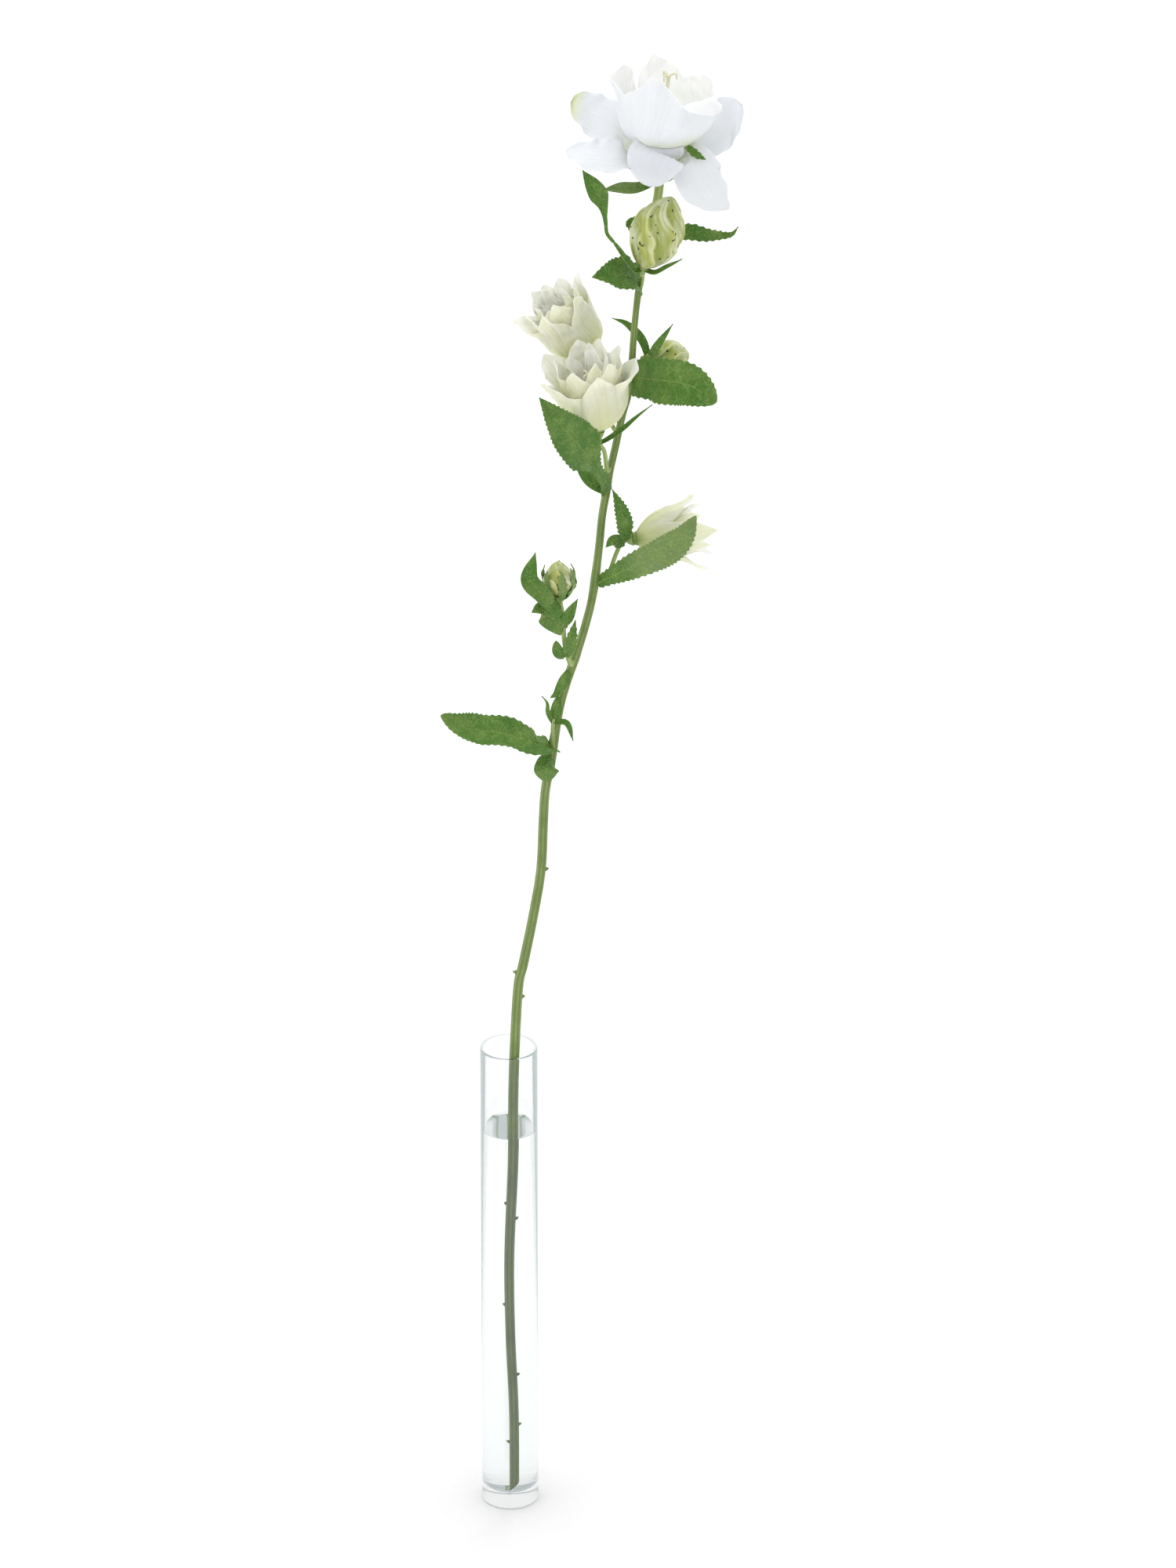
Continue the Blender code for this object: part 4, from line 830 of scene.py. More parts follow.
@once
def sweep_tree():
    """A ribbed round section swept along a path whose points hold its radius."""
    tree, given = new_tree("ribbed sweep", {
        "Sides": "Int", "Ribs": "Float", "Rib height": "Float", "Finish": "Material"})
    ring = add_node(tree, "GeometryNodeCurvePrimitiveCircle", {"Resolution": given["Sides"], "Radius": 1.0})
    around = add_node(tree, "GeometryNodeSplineParameter").outputs["Factor"]
    turns = add_node(tree, "ShaderNodeMath", {0: around, 1: given["Ribs"]}, operation="MULTIPLY")
    angle = add_node(tree, "ShaderNodeMath", {0: turns.outputs[0], 1: 2 * math.pi}, operation="MULTIPLY")
    crest = add_node(tree, "ShaderNodeMath", {0: angle.outputs[0]}, operation="COSINE")
    kept = add_node(tree, "GeometryNodeStoreNamedAttribute", {
        "Geometry": ring.outputs[0], "Name": "rib", "Value": crest.outputs[0]}, domain="POINT")
    height = add_node(tree, "ShaderNodeMath", {0: crest.outputs[0], 1: given["Rib height"]},
                      operation="MULTIPLY")
    place = add_node(tree, "GeometryNodeInputPosition").outputs[0]
    push = add_node(tree, "ShaderNodeVectorMath", {0: place, "Scale": height.outputs[0]}, operation="SCALE")
    section = add_node(tree, "GeometryNodeSetPosition", {"Geometry": kept.outputs[0],
                                                        "Offset": push.outputs[0]})
    path = add_node(tree, "GeometryNodeMeshToCurve", {"Mesh": given["Geometry"]})
    radius = add_node(tree, "GeometryNodeInputNamedAttribute", {"Name": "girth"}, data_type="FLOAT")
    swept = add_node(tree, "GeometryNodeCurveToMesh", {
        "Curve": path.outputs[0], "Profile Curve": section.outputs[0], "Scale": radius.outputs[0],
        "Fill Caps": True})
    return close_tree(tree, swept.outputs[0], given["Finish"])


def sweep(name, path, radii, finish, sides=16, ribs=0, rib_height=0.0):
    """A closed tube along a path, ribbed or plain."""
    mesh = bpy.data.meshes.new(name)
    mesh.from_pydata([tuple(point) for point in path], [(i, i + 1) for i in range(len(path) - 1)], [])
    girth = mesh.attributes.new("girth", "FLOAT", "POINT")
    girth.data.foreach_set("value", radii)
    item = run_tree(add_object(name, mesh), sweep_tree(), {
        "Sides": sides, "Ribs": float(ribs), "Rib height": rib_height, "Finish": finish})
    return outward(item)


@once
def hair_tree():
    """Thin cones scattered over a surface above a height, leaning a little at random."""
    tree, given = new_tree("hairs", {
        "Density": "Float", "Length": "Float", "Radius": "Float", "Lowest": "Float", "Finish": "Material"})
    height = add_node(tree, "ShaderNodeSeparateXYZ", {0: add_node(tree, "GeometryNodeInputPosition").outputs[0]})
    dry = add_node(tree, "FunctionNodeCompare", {0: height.outputs["Z"], 1: given["Lowest"]},
                   operation="GREATER_THAN")
    points = add_node(tree, "GeometryNodeDistributePointsOnFaces", {
        "Mesh": given["Geometry"], "Selection": dry.outputs[0], "Density": given["Density"], "Seed": 7})
    cone = add_node(tree, "GeometryNodeMeshCone", {
        "Vertices": 3, "Radius Top": 0.0, "Radius Bottom": 1.0, "Depth": 1.0})
    lean = add_node(tree, "FunctionNodeRandomValue", {
        "Min": (-0.5, -0.5, 0.0), "Max": (0.5, 0.5, 3.0), "Seed": 11}, data_type="FLOAT_VECTOR")
    turn = add_node(tree, "FunctionNodeEulerToRotation", {0: lean.outputs[0]})
    aim = add_node(tree, "FunctionNodeRotateRotation", {
        0: points.outputs["Rotation"], 1: turn.outputs[0]}, rotation_space="LOCAL")
    share = add_node(tree, "FunctionNodeRandomValue", {2: 0.45, 3: 1.0, "Seed": 5}, data_type="FLOAT")
    reach = add_node(tree, "ShaderNodeMath", {0: share.outputs[1], 1: given["Length"]}, operation="MULTIPLY")
    size = add_node(tree, "ShaderNodeCombineXYZ", {
        0: given["Radius"], 1: given["Radius"], 2: reach.outputs[0]})
    hairs = add_node(tree, "GeometryNodeInstanceOnPoints", {
        "Points": points.outputs["Points"], "Instance": cone.outputs[0], "Rotation": aim.outputs[0],
        "Scale": size.outputs[0]})
    return close_tree(tree, hairs.outputs[0], given["Finish"])


# Paths and frames, as the CAD source has them


def smooth_path(points, count):
    """Points on a smooth curve through the given ones, count spans long."""
    knots = [Vector(p) for p in points]
    knots = [2 * knots[0] - knots[1], *knots, 2 * knots[-1] - knots[-2]]
    path = []
    for i in range(count + 1):
        place = i / count * (len(points) - 1)
        span = min(int(place), len(points) - 2)
        t = place - span
        a, b, c, d = knots[span:span + 4]
        linear_term = (c - a) * t
        square = (2 * a - 5 * b + 4 * c - d) * t * t
        cube = (3 * b - a - 3 * c + d) * t ** 3
        path.append((2 * b + linear_term + square + cube) / 2)
    return path


STEM_PATH = smooth_path(STEM_LINE, 360)


def stem_radius(height):
    """The stem thins towards the top and swells at each leaf node."""
    sizes = bpy.context.scene.bellflower_stem
    share = height / STEM_LINE[-1][2]
    radius = sizes.radius + (sizes.top_radius - sizes.radius) * share ** 2.2
    radius *= 1 - FOOT_THINNING * math.exp(-(height / FOOT_REACH) ** 4)
    swell = sum(math.exp(-((height - node) / NODE_REACH) ** 2) for node in LEAF_NODES)
    return radius * (1 + NODE_SWELL * swell)


def stem_centre(height):
    """The stem's centre at a height."""
    for low, high in zip(STEM_PATH, STEM_PATH[1:]):
        if low.z <= height <= high.z:
            return low.lerp(high, (height - low.z) / (high.z - low.z))
    return STEM_PATH[-1]


def root_in_stem(height, towards, depth):
    """A point on the stem's surface, or a little inside it, on the side that faces a target, and the way out."""
    centre = stem_centre(height)
    out = Vector(towards) - centre
    out.z = 0
    out.normalize()
    return centre + out * (stem_radius(height) - depth), out


def stalk_path(line, spans):
    """A side stalk's path: straight out of the stem, then through its own points."""
    if len(line[0]) == 3:
        return smooth_path(line, spans)
    (height, straight), *rest = line
    root, out = root_in_stem(height, rest[0], 0.0008)
    return smooth_path([root, root + out * (straight + 0.0008), *rest], spans)


def axis_frame(base, tip):
    """An axis from base to tip: its length, its direction, and two directions across it."""
    base, tip = Vector(base), Vector(tip)
    axis = (tip - base).normalized()
    towards = Vector((1.0, 0.0, 0.0)) if abs(axis.x) < 0.8 else Vector((0.0, 0.0, 1.0))
    first = (towards - towards.dot(axis) * axis).normalized()
    return (tip - base).length, axis, first, axis.cross(first)


# Blades: leaves, bracts and petals


def width_share(place, blade):
    """A blade's half width along its midrib, as a share of its widest."""
    if place < blade.widest:
        rise = math.sin(0.5 * math.pi * (place / blade.widest) ** blade.neck)
        return blade.foot + (1 - blade.foot) * rise
    fall = (place - blade.widest) / (1 - blade.widest)
    return max(math.cos(0.5 * math.pi * fall), 0.0) ** blade.bluntness


def blade_frames(blade, spans):
    """For each span: the midrib's point, its sideways and upward directions, and its place along."""
    path = smooth_path(blade.spine, spans)
    lengths = [0.0]
    for a, b in zip(path, path[1:]):
        lengths.append(lengths[-1] + (b - a).length)
    frames = []
    for i, point in enumerate(path):
        along = (path[min(i + 1, spans)] - path[max(i - 1, 0)]).normalized()
        place = lengths[i] / lengths[-1]
        up = Vector(blade.facing).lerp(Vector(blade.tip_facing or blade.facing), place)
        up = (up - up.dot(along) * along).normalized()
        side = along.cross(up)
        turn = math.radians(blade.twist) * place
        side, up = side * math.cos(turn) + up * math.sin(turn), up * math.cos(turn) - side * math.sin(turn)
        frames.append((point, side, up, place))
    return frames, lengths[-1]


def feather_vein(place, across, pairs):
    """How near a point is to the midrib or a side vein, from 0 to 1. Side veins bend towards the tip."""
    edge = abs(across)
    midrib = math.exp(-(edge / 0.045) ** 2)
    stray = 0.35 * noise.noise((place * 5, across * 2, pairs))
    slot = place * pairs - 1.1 * edge ** 0.8 + (0.5 if across > 0 else 0.0) + stray
    side = math.exp(-((slot - round(slot)) / 0.09) ** 2) * (1 - edge ** 2) * min(1.0, 6 * (1 - place))
    return max(midrib * (1 - 0.5 * place), 0.5 * side)


def petal_vein(place, across):
    """Lengthwise veins that spread from the petal's foot."""
    lines = (math.exp(-((across - c) / 0.035) ** 2) for c in (-0.75, -0.5, -0.25, 0.0, 0.25, 0.5, 0.75))
    return max(lines) * min(1.0, 4 * (1 - place))


def blade_sheet(name, blade, finishes, spans, halves, petal=False):
    """A bent sheet with teeth, veins and a thickness: finishes are for its upper side and its underside."""
    leaf = bpy.context.scene.bellflower_leaf
    bloom = bpy.context.scene.bellflower_bloom
    teeth = len(TOOTH)
    spans = max(1, round(spans / teeth)) * teeth
    frames, real_length = blade_frames(blade, spans)
    if blade.toothed:
        spans = round(real_length / TOOTH_SPACING) * teeth
        frames, real_length = blade_frames(blade, spans)
    pairs = max(4, round(real_length / VEIN_SPACING))
    work = bmesh.new()
    vein_layer = work.verts.layers.float.new("vein")
    rise_layer = work.verts.layers.float.new("rise")
    bmesh.ops.create_grid(work, x_segments=spans, y_segments=2 * halves, size=1.0)
    places = {}
    for vert in work.verts:
        step = round((vert.co.x + 1) / 2 * spans)
        across = round(vert.co.y * halves) / halves
        point, side, up, place = frames[step]
        edge = abs(across)
        reach = max(blade.half_width * width_share(place, blade), BLADE_TIP)
        if blade.toothed:
            bite = min(leaf.tooth, reach * 0.3)
            reach += bite * (TOOTH[step % teeth] - 0.5) * edge ** 5 * min(1.0, 8 * (1 - place))
        fold, roll = math.radians(blade.fold), math.radians(blade.roll)
        out, lift = across * reach, 0.0
        if roll:
            out = math.sin(across * roll) / roll * reach
            lift = (1 - math.cos(across * roll)) / roll * reach
        ripple = math.sin(2 * math.pi * blade.waves * place + (1 if across > 0 else 0))
        lift += blade.wave * edge ** 2 * ripple * math.sin(math.pi * place)
        lift += abs(out) * math.sin(fold)
        size = min(1.0, reach / 0.006)
        if petal:
            vein = petal_vein(place, across)
            lift += bloom.ripple * size * edge ** 3 * math.sin(37 * place + 5 * across) * place
            lift -= 0.00025 * size * vein
        else:
            vein = feather_vein(place, across, pairs)
            lift -= leaf.vein_depth * size * vein
        at = point + side * out * math.cos(fold) + up * lift
        at += up * noise.noise(at * 110) * 0.0009 * size
        places[vert] = (across, place)
        vert.co = at
        vert[vein_layer] = vein
        tip_rise = 0.12 + (1 - place) / blade.green_tip if blade.green_tip else 1.0
        vert[rise_layer] = min(place, tip_rise)
    uv_layer = work.loops.layers.uv.new("petal")
    for face in work.faces:
        for loop in face.loops:
            across, place = places[loop.vert]
            loop[uv_layer].uv = (across * 0.1 + 0.5, place)
    bmesh.ops.reverse_faces(work, faces=work.faces)
    mesh = bpy.data.meshes.new(name)
    work.to_mesh(mesh)
    work.free()
    for finish in finishes:
        mesh.materials.append(finish)
    item = add_object(name, mesh)
    return thickened(item, bloom.thickness if petal else leaf.thickness, len(finishes) - 1)


def thickened(item, thickness, underside):
    """A sheet with a thickness, its second finish on the underside."""
    shell = item.modifiers.new("thickness", "SOLIDIFY")
    shell.thickness = thickness
    shell.offset = 0.0
    shell.material_offset = underside
    shell.material_offset_rim = underside
    return plain_mesh(item)


def green_blades(blades, spans=60, halves=8):
    sheets = []
    for blade in blades:
        upper = leaf_face("underside" if blade.pale else "upper")
        sheets.append(blade_sheet("blade", blade, (upper, leaf_face("underside")), spans, halves))
    return sheets


# Blooms and buds


def bell_sheet(bloom, bell, seed):
    """One layer of a bloom: a turned sheet with keels, veins and a rippled rim cut into pointed lobes."""
    sizes = bpy.context.scene.bellflower_bloom
    span, axis, first, other = axis_frame(bloom.base, bloom.mouth)
    work = bmesh.new()
    vein_layer = work.verts.layers.float.new("vein")
    rise_layer = work.verts.layers.float.new("rise")
    bmesh.ops.create_grid(work, x_segments=BELL_COLUMNS, y_segments=BELL_ROWS, size=1.0)
    places = {}
    for vert in work.verts:
        turn = round((vert.co.x + 1) / 2 * BELL_COLUMNS) / BELL_COLUMNS
        rise = (vert.co.y + 1) / 2
        place = turn * LOBES
        nearest = round(place)
        middle = 2 * abs(place - nearest)
        lobe = bell.lobes[nearest % LOBES]
        before, after = bell.lobes[int(place) % LOBES], bell.lobes[(int(place) + 1) % LOBES]
        passed = place - int(place)
        shift = before.shift + (after.shift - before.shift) * passed ** 2 * (3 - 2 * passed)
        rise = BELL_START + (1 - BELL_START) * rise
        height = rise * (before.notch + (lobe.reach - before.notch) * (1 - middle ** lobe.point))
        widening = 1 - (1 - min(height / bell.rounding, 1)) ** 3
        out = bell.radius * widening + (lobe.radius - bell.radius) * (1 - middle ** 2) * rise ** lobe.flare
        height = height * span + bell.lift - lobe.droop * (1 - middle ** 2) * rise ** (lobe.flare + 1)
        small = bell.radius / 0.026
        spread = 0.25 + 0.75 * rise
        veins = max(math.exp(-((middle - c * spread) / 0.05) ** 2) for c in (0.0, 0.3, 0.6, 0.9))
        keel = math.exp(-(middle / 0.16) ** 2)
        out += 0.0009 * small * keel * math.sin(math.pi * min(rise * 1.1, 1)) - 0.00025 * small * veins
        wave = math.sin(2 * math.pi * 11 * turn + seed) + 0.6 * math.sin(2 * math.pi * 17 * turn + 2 * seed)
        out += sizes.ripple * small * wave * rise ** 4 * (1 - 0.5 * keel)
        angle = 2 * math.pi * turn + math.radians(bell.turn + shift)
        at = Vector(bloom.base) + axis * height + (first * math.cos(angle) + other * math.sin(angle)) * out
        at += first * bell.lean * min(rise * 1.5, 1)
        at += noise.noise_vector(at * 75 + Vector((seed, 0, 0))) * bell.crumple * rise
        ridge = 1 - abs(noise.noise(at * 120 + Vector((seed, 5, 0)))) * 3
        at += (first * math.cos(angle) + other * math.sin(angle)) * ridge * bell.crumple * 0.3 * rise
        places[vert] = (turn, rise)
        vert.co = at
        vert[vein_layer] = veins
        vert[rise_layer] = rise
    uv_layer = work.loops.layers.uv.new("petal")
    for face in work.faces:
        for loop in face.loops:
            loop[uv_layer].uv = places[loop.vert]
    seam = [vert for vert in work.verts if places[vert][0] in (0.0, 1.0)]
    bmesh.ops.remove_doubles(work, verts=seam, dist=0.00002)
    mesh = bpy.data.meshes.new("bell")
    work.to_mesh(mesh)
    work.free()
    # The outer side takes the greyer outer finish, painted shade, so the inside reads brighter
    mesh.materials.append(petal_face(bloom.shaded_outer_finish))
    mesh.materials.append(petal_face(bloom.finish))
    return thickened(add_object("bell", mesh), sizes.thickness, 1)


def petal_spine(bloom, blade):
    """A petal's midrib begins inside the bloom's core, on the petal's own side."""
    base = Vector(bloom.base)
    axis = (Vector(bloom.mouth) - base).normalized()
    out = Vector(blade.spine[0]) - base
    out = (out - out.dot(axis) * axis).normalized()
    root = base + axis * bloom.core_height * 0.3 + out * CORE_FOOT_RADIUS / 2
    claw = base + axis * bloom.core_height * 0.6 + out * CLAW_REACH
    return (tuple(root), tuple(claw), *blade.spine)


def turned_along(name, base, axis, profile, finish, sides=40, ribs=0, rib_height=0.0):
    """A round solid on an axis, from its profile of heights and radii."""
    path = [Vector(base) + axis * height for height, radius in profile]
    return sweep(name, path, [radius for height, radius in profile], finish, sides, ribs, rib_height)


def bud_look(bud):
    """A pointed egg of five folded petals, each with a keel and veins, closed in a twist at the tip."""
    span, axis, first, other = axis_frame(bud.base, bud.tip)
    work = bmesh.new()
    vein_layer = work.verts.layers.float.new("vein")
    pleat_layer = work.verts.layers.float.new("pleat")
    bmesh.ops.create_uvsphere(work, u_segments=BUD_AROUND, v_segments=BUD_RINGS, radius=1.0)
    for vert in work.verts:
        height = max(vert.co.z, -BUD_FLAT)
        angle = math.atan2(vert.co.y, vert.co.x)
        share = (height + BUD_FLAT) / (1 + BUD_FLAT)
        stray = noise.noise(vert.co * 1.6 + Vector((bud.radius * 900, 0, 0)))
        place = LOBES * (angle / (2 * math.pi) + BUD_SPIRAL * share ** 2 + 0.07 * stray)
        across = place - math.floor(place)
        overlap = across ** 0.8 if across < 0.9 else 0.9 ** 0.8 * (1 - across) / 0.1
        keel = math.exp(-((across - 0.45) / 0.07) ** 2)
        wrinkle = math.cos(2 * math.pi * (5 * across + 0.8 * stray)) * 0.014
        girth = math.hypot(vert.co.x, vert.co.y) * (0.94 + BUD_PLEAT * overlap + 0.03 * keel + wrinkle)
        girth *= 1 - BUD_NARROWING * (max(-height, 0) ** 1.5 + max(height, 0) ** 3)
        veins = max(keel, *(math.exp(-((across - c) / 0.035) ** 2) for c in (0.2, 0.7)))
        rise = share * (1 - BUD_POINT) + BUD_POINT * share ** 6
        out = (first * math.cos(angle) + other * math.sin(angle)) * girth * bud.radius
        at = Vector(bud.base) + axis * rise * span + out
        vert.co = at + noise.noise_vector(at * 160) * 0.0005
        vert[vein_layer] = veins
        vert[pleat_layer] = overlap
    mesh = bpy.data.meshes.new(bud.name)
    work.to_mesh(mesh)
    work.free()
    mesh.materials.append(bud_face())
    return joined(bud.name + "_petals_look", [add_object(bud.name + "_look", mesh)])


def cup_profile():
    """The green cup under a bloom: narrow at the stalk, round in the belly."""
    heights = [i / 10 for i in range(11)]
    return [(CUP_HEIGHT * h, CUP_FOOT_RADIUS + (CUP_TOP_RADIUS - CUP_FOOT_RADIUS) * h ** 0.7) for h in heights]


def stalk_look(name, base, axis, line, bracts, radius=0.0013):
    """The green cup under a bloom or bud with its ribbed pedicel and its bracts."""
    cup_foot = Vector(base) - axis * (CUP_HEIGHT + TOUCH_GAP)
    parts = [turned_along("cup", cup_foot, axis, cup_profile(), ribbed_stem("stalk"), 40, LOBES, 0.06)]
    if line:
        inside = cup_foot + axis * CUP_HEIGHT / 2
        path = stalk_path((*line, tuple(cup_foot - axis * CUP_HEIGHT / 2), tuple(inside)), 40)
        parts.append(sweep("pedicel", path, [radius] * len(path), ribbed_stem("stalk"), 30, LOBES, 0.06))
    parts += green_blades(bracts)
    hand_over(joined(name + "_look", parts), "stalk", name)


# The operators, one for each piece or group of like pieces


def arc(centre_radius, centre_height, radius, start, end, steps):
    """Points of an arc in the outline's plane, as (radius, height)."""
    angles = [math.radians(start + (end - start) * i / steps) for i in range(steps + 1)]
    return [(centre_radius + radius * math.cos(a), centre_height + radius * math.sin(a)) for a in angles]


def turned(name, outline, finish, steps=128):
    """A solid turned round Z from its outline, which runs from the axis and back to it."""
    mesh = bpy.data.meshes.new(name)
    mesh.from_pydata([(r, 0.0, h) for r, h in outline], [(i, i + 1) for i in range(len(outline) - 1)], [])
    item = add_object(name, mesh)
    screw = item.modifiers.new("turn", "SCREW")
    screw.angle = 2 * math.pi
    screw.steps = steps
    screw.render_steps = steps
    screw.use_merge_vertices = True
    screw.merge_threshold = 0.00001
    plain_mesh(item)
    outward(item)
    item.data.materials.append(finish)
    item.data.shade_smooth()
    item.data.set_sharp_from_angle(angle=math.radians(40))
    return item


class BELLFLOWER_OT_vase(bpy.types.Operator):
    """Turn the glass vase: straight wall, thick floor, rounded inside corner and fire-polished rim"""

    bl_idname = "bellflower.vase"
    bl_label = "Vase"

    def execute(self, context):
        sizes = context.scene.bellflower_vase
        half_wall = sizes.wall / 2
        rim_height = sizes.height - half_wall
        heel = arc(sizes.radius - VASE_HEEL, VASE_HEEL, VASE_HEEL, 0, -90, 8)
        rim = arc(sizes.radius - half_wall, rim_height, half_wall, 180, 0, 14)
        inner = sizes.radius - sizes.wall
        corner = arc(inner - VASE_FILLET, sizes.floor + VASE_FILLET, VASE_FILLET, -90, 0, 16)
        outline = [(0.0, sizes.floor), *corner, *rim, *heel, (0.0, 0.0)]
        hand_over(turned("vase_look", outline, drawn_glass()), "glass", "vase")
        return {"FINISHED"}


class BELLFLOWER_OT_water(bpy.types.Operator):
    """Fill the vase with water that climbs a little at the wall"""

    bl_idname = "bellflower.water"
    bl_label = "Water"

    def execute(self, context):
        sizes = context.scene.bellflower_vase
        radius = sizes.radius - sizes.wall + WATER_OVERLAP
        floor = sizes.floor - WATER_OVERLAP
        corner = arc(radius - VASE_FILLET, floor + VASE_FILLET, VASE_FILLET, 0, -90, 16)
        climb = [(radius * (1 - i / 24), sizes.water_level - MENISCUS * (1 - 0.45 ** i)) for i in range(8)]
        outline = [(0.0, climb[-1][1]), *reversed(climb), *corner, (0.0, floor)]
        hand_over(turned("water_look", outline, still_water()), "water", "water")
        return {"FINISHED"}


class BELLFLOWER_OT_stem(bpy.types.Operator):
    """Sweep the ribbed stem, cut its foot on a slant and set the leaf scars on it"""

    bl_idname = "bellflower.stem"
    bl_label = "Stem"

    def execute(self, context):
        sizes = context.scene.bellflower_stem
        radii = [stem_radius(point.z) for point in STEM_PATH]
        stem = sweep("stem_look", STEM_PATH, radii, ribbed_stem(), 84, sizes.ribs, RIB_SHARE)
        self.cut_foot(stem, sizes.radius, context.scene.bellflower_vase.floor)
        scars = [self.scar(i, *stub) for i, stub in enumerate(STUBS)]
        hand_over(joined("stem_look", [stem, *scars]), "stem", "stem")
        return {"FINISHED"}

    def cut_foot(self, stem, radius, floor):
        """Cut the foot on a slant, with its lowest point just off the vase's floor."""
        lowest = stem_centre(floor) + Vector((-radius, 0.0, 0.0))
        lowest.z = floor + TOUCH_GAP
        normal = Vector((-math.sin(FOOT_CUT_SLOPE), 0.0, math.cos(FOOT_CUT_SLOPE)))
        work = bmesh.new()
        work.from_mesh(stem.data)
        everything = [*work.verts, *work.edges, *work.faces]
        cut = bmesh.ops.bisect_plane(work, geom=everything, plane_co=lowest, plane_no=normal, clear_inner=True)
        edges = [part for part in cut["geom_cut"] if isinstance(part, bmesh.types.BMEdge)]
        bmesh.ops.edgeloop_fill(work, edges=edges)
        bmesh.ops.recalc_face_normals(work, faces=work.faces)
        work.to_mesh(stem.data)
        work.free()

    def scar(self, seed, height, direction, reach):
        """The torn foot of a leaf that was taken off: a small uneven lump with a point."""
        angle = math.radians(direction)
        out = Vector((math.cos(angle), math.sin(angle), 0.0))
        side = Vector((-out.y, out.x, 0.0))
        centre = stem_centre(height) + out * (stem_radius(height) - STUB_WIDTH / 2)
        work = bmesh.new()
        bmesh.ops.create_uvsphere(work, u_segments=24, v_segments=16, radius=1.0)
        for vert in work.verts:
            x, y, z = vert.co
            rough = 1 + 0.3 * noise.noise(vert.co * 2.2 + Vector((seed * 7.0, 0, 0)))
            lean = 0.35 * max(x, 0) ** 2
            vert.co = (centre + out * x * (reach + STUB_WIDTH / 2) * rough + side * y * STUB_WIDTH * rough
                       + Vector((0, 0, 1)) * (z * 0.8 + lean) * rough * STUB_LENGTH / 2)
        mesh = bpy.data.meshes.new("scar")
        work.to_mesh(mesh)
        work.free()
        mesh.materials.append(ribbed_stem())
        return add_object("scar", mesh)


class BELLFLOWER_OT_leaves(bpy.types.Operator):
    """Lay out the stem leaves with toothed edges and sunken veins"""

    bl_idname = "bellflower.leaves"
    bl_label = "Leaves"

    def execute(self, context):
        for leaf in LEAVES:
            root = root_in_stem(leaf.height, leaf.blade.spine[0], 0.0008)[0]
            blade = leaf.blade._replace(spine=(tuple(root), *leaf.blade.spine))
            hand_over(joined(leaf.name + "_look", green_blades([blade], 90, 12)), "leaf", leaf.name)
        return {"FINISHED"}


class BELLFLOWER_OT_shoots(bpy.types.Operator):
    """Make the two leafy side shoots"""

    bl_idname = "bellflower.shoots"
    bl_label = "Side shoots"

    def execute(self, context):
        shoots = (
            ("side_branch", SIDE_BRANCH_LINE, SIDE_BRANCH_BLADES, 0.0014),
            ("side_shoot", SIDE_SHOOT_LINE, SIDE_SHOOT_BLADES, 0.0011),
        )
        for name, line, blades, radius in shoots:
            path = stalk_path(line, 40)
            parts = [sweep(name, path, [radius] * len(path), ribbed_stem("stalk"), 30, LOBES, 0.06)]
            parts += green_blades(blades)
            if name == "side_branch":
                bud = BUDS[-1]
                axis = axis_frame(bud.base, bud.tip)[1]
                foot = Vector(bud.base) - axis * (CUP_HEIGHT + TOUCH_GAP)
                parts.append(turned_along("cup", foot, axis, cup_profile(), ribbed_stem("stalk"), 40, LOBES, 0.06))
                parts += [blade_sheet("sepal", sepal, (leaf_face("underside"),), 40, 6)
                          for sepal in hugging_sepals(bud)]
            hand_over(joined(name + "_look", parts), "leaf", name)
        return {"FINISHED"}


class BELLFLOWER_OT_blooms(bpy.types.Operator):
    """Make each bloom's bells and saucer petals on its core"""

    bl_idname = "bellflower.blooms"
    bl_label = "Blooms"

    def execute(self, context):
        for bloom in BLOOMS:
            axis = axis_frame(bloom.base, bloom.mouth)[1]
            # The core and saucer petals take the greyer outer finish, painted shade
            finish = petal_face(bloom.shaded_outer_finish)
            profile = [(0.0, CORE_FOOT_RADIUS), (bloom.core_height, CORE_TOP_RADIUS)]
            parts = [turned_along("core", bloom.base, axis, profile, finish)]
            parts += [bell_sheet(bloom, bell, 1.7 * i + len(bloom.name))
                      for i, bell in enumerate(bloom.bells)]
            for blade in bloom.petals:
                whole = blade._replace(spine=petal_spine(bloom, blade))
                parts.append(blade_sheet("petal", whole, (finish,), 80, 22, petal=True))
            hand_over(joined(bloom.name + "_petals_look", parts), "petal_" + bloom.finish,
                      bloom.name + "_petals")
        return {"FINISHED"}


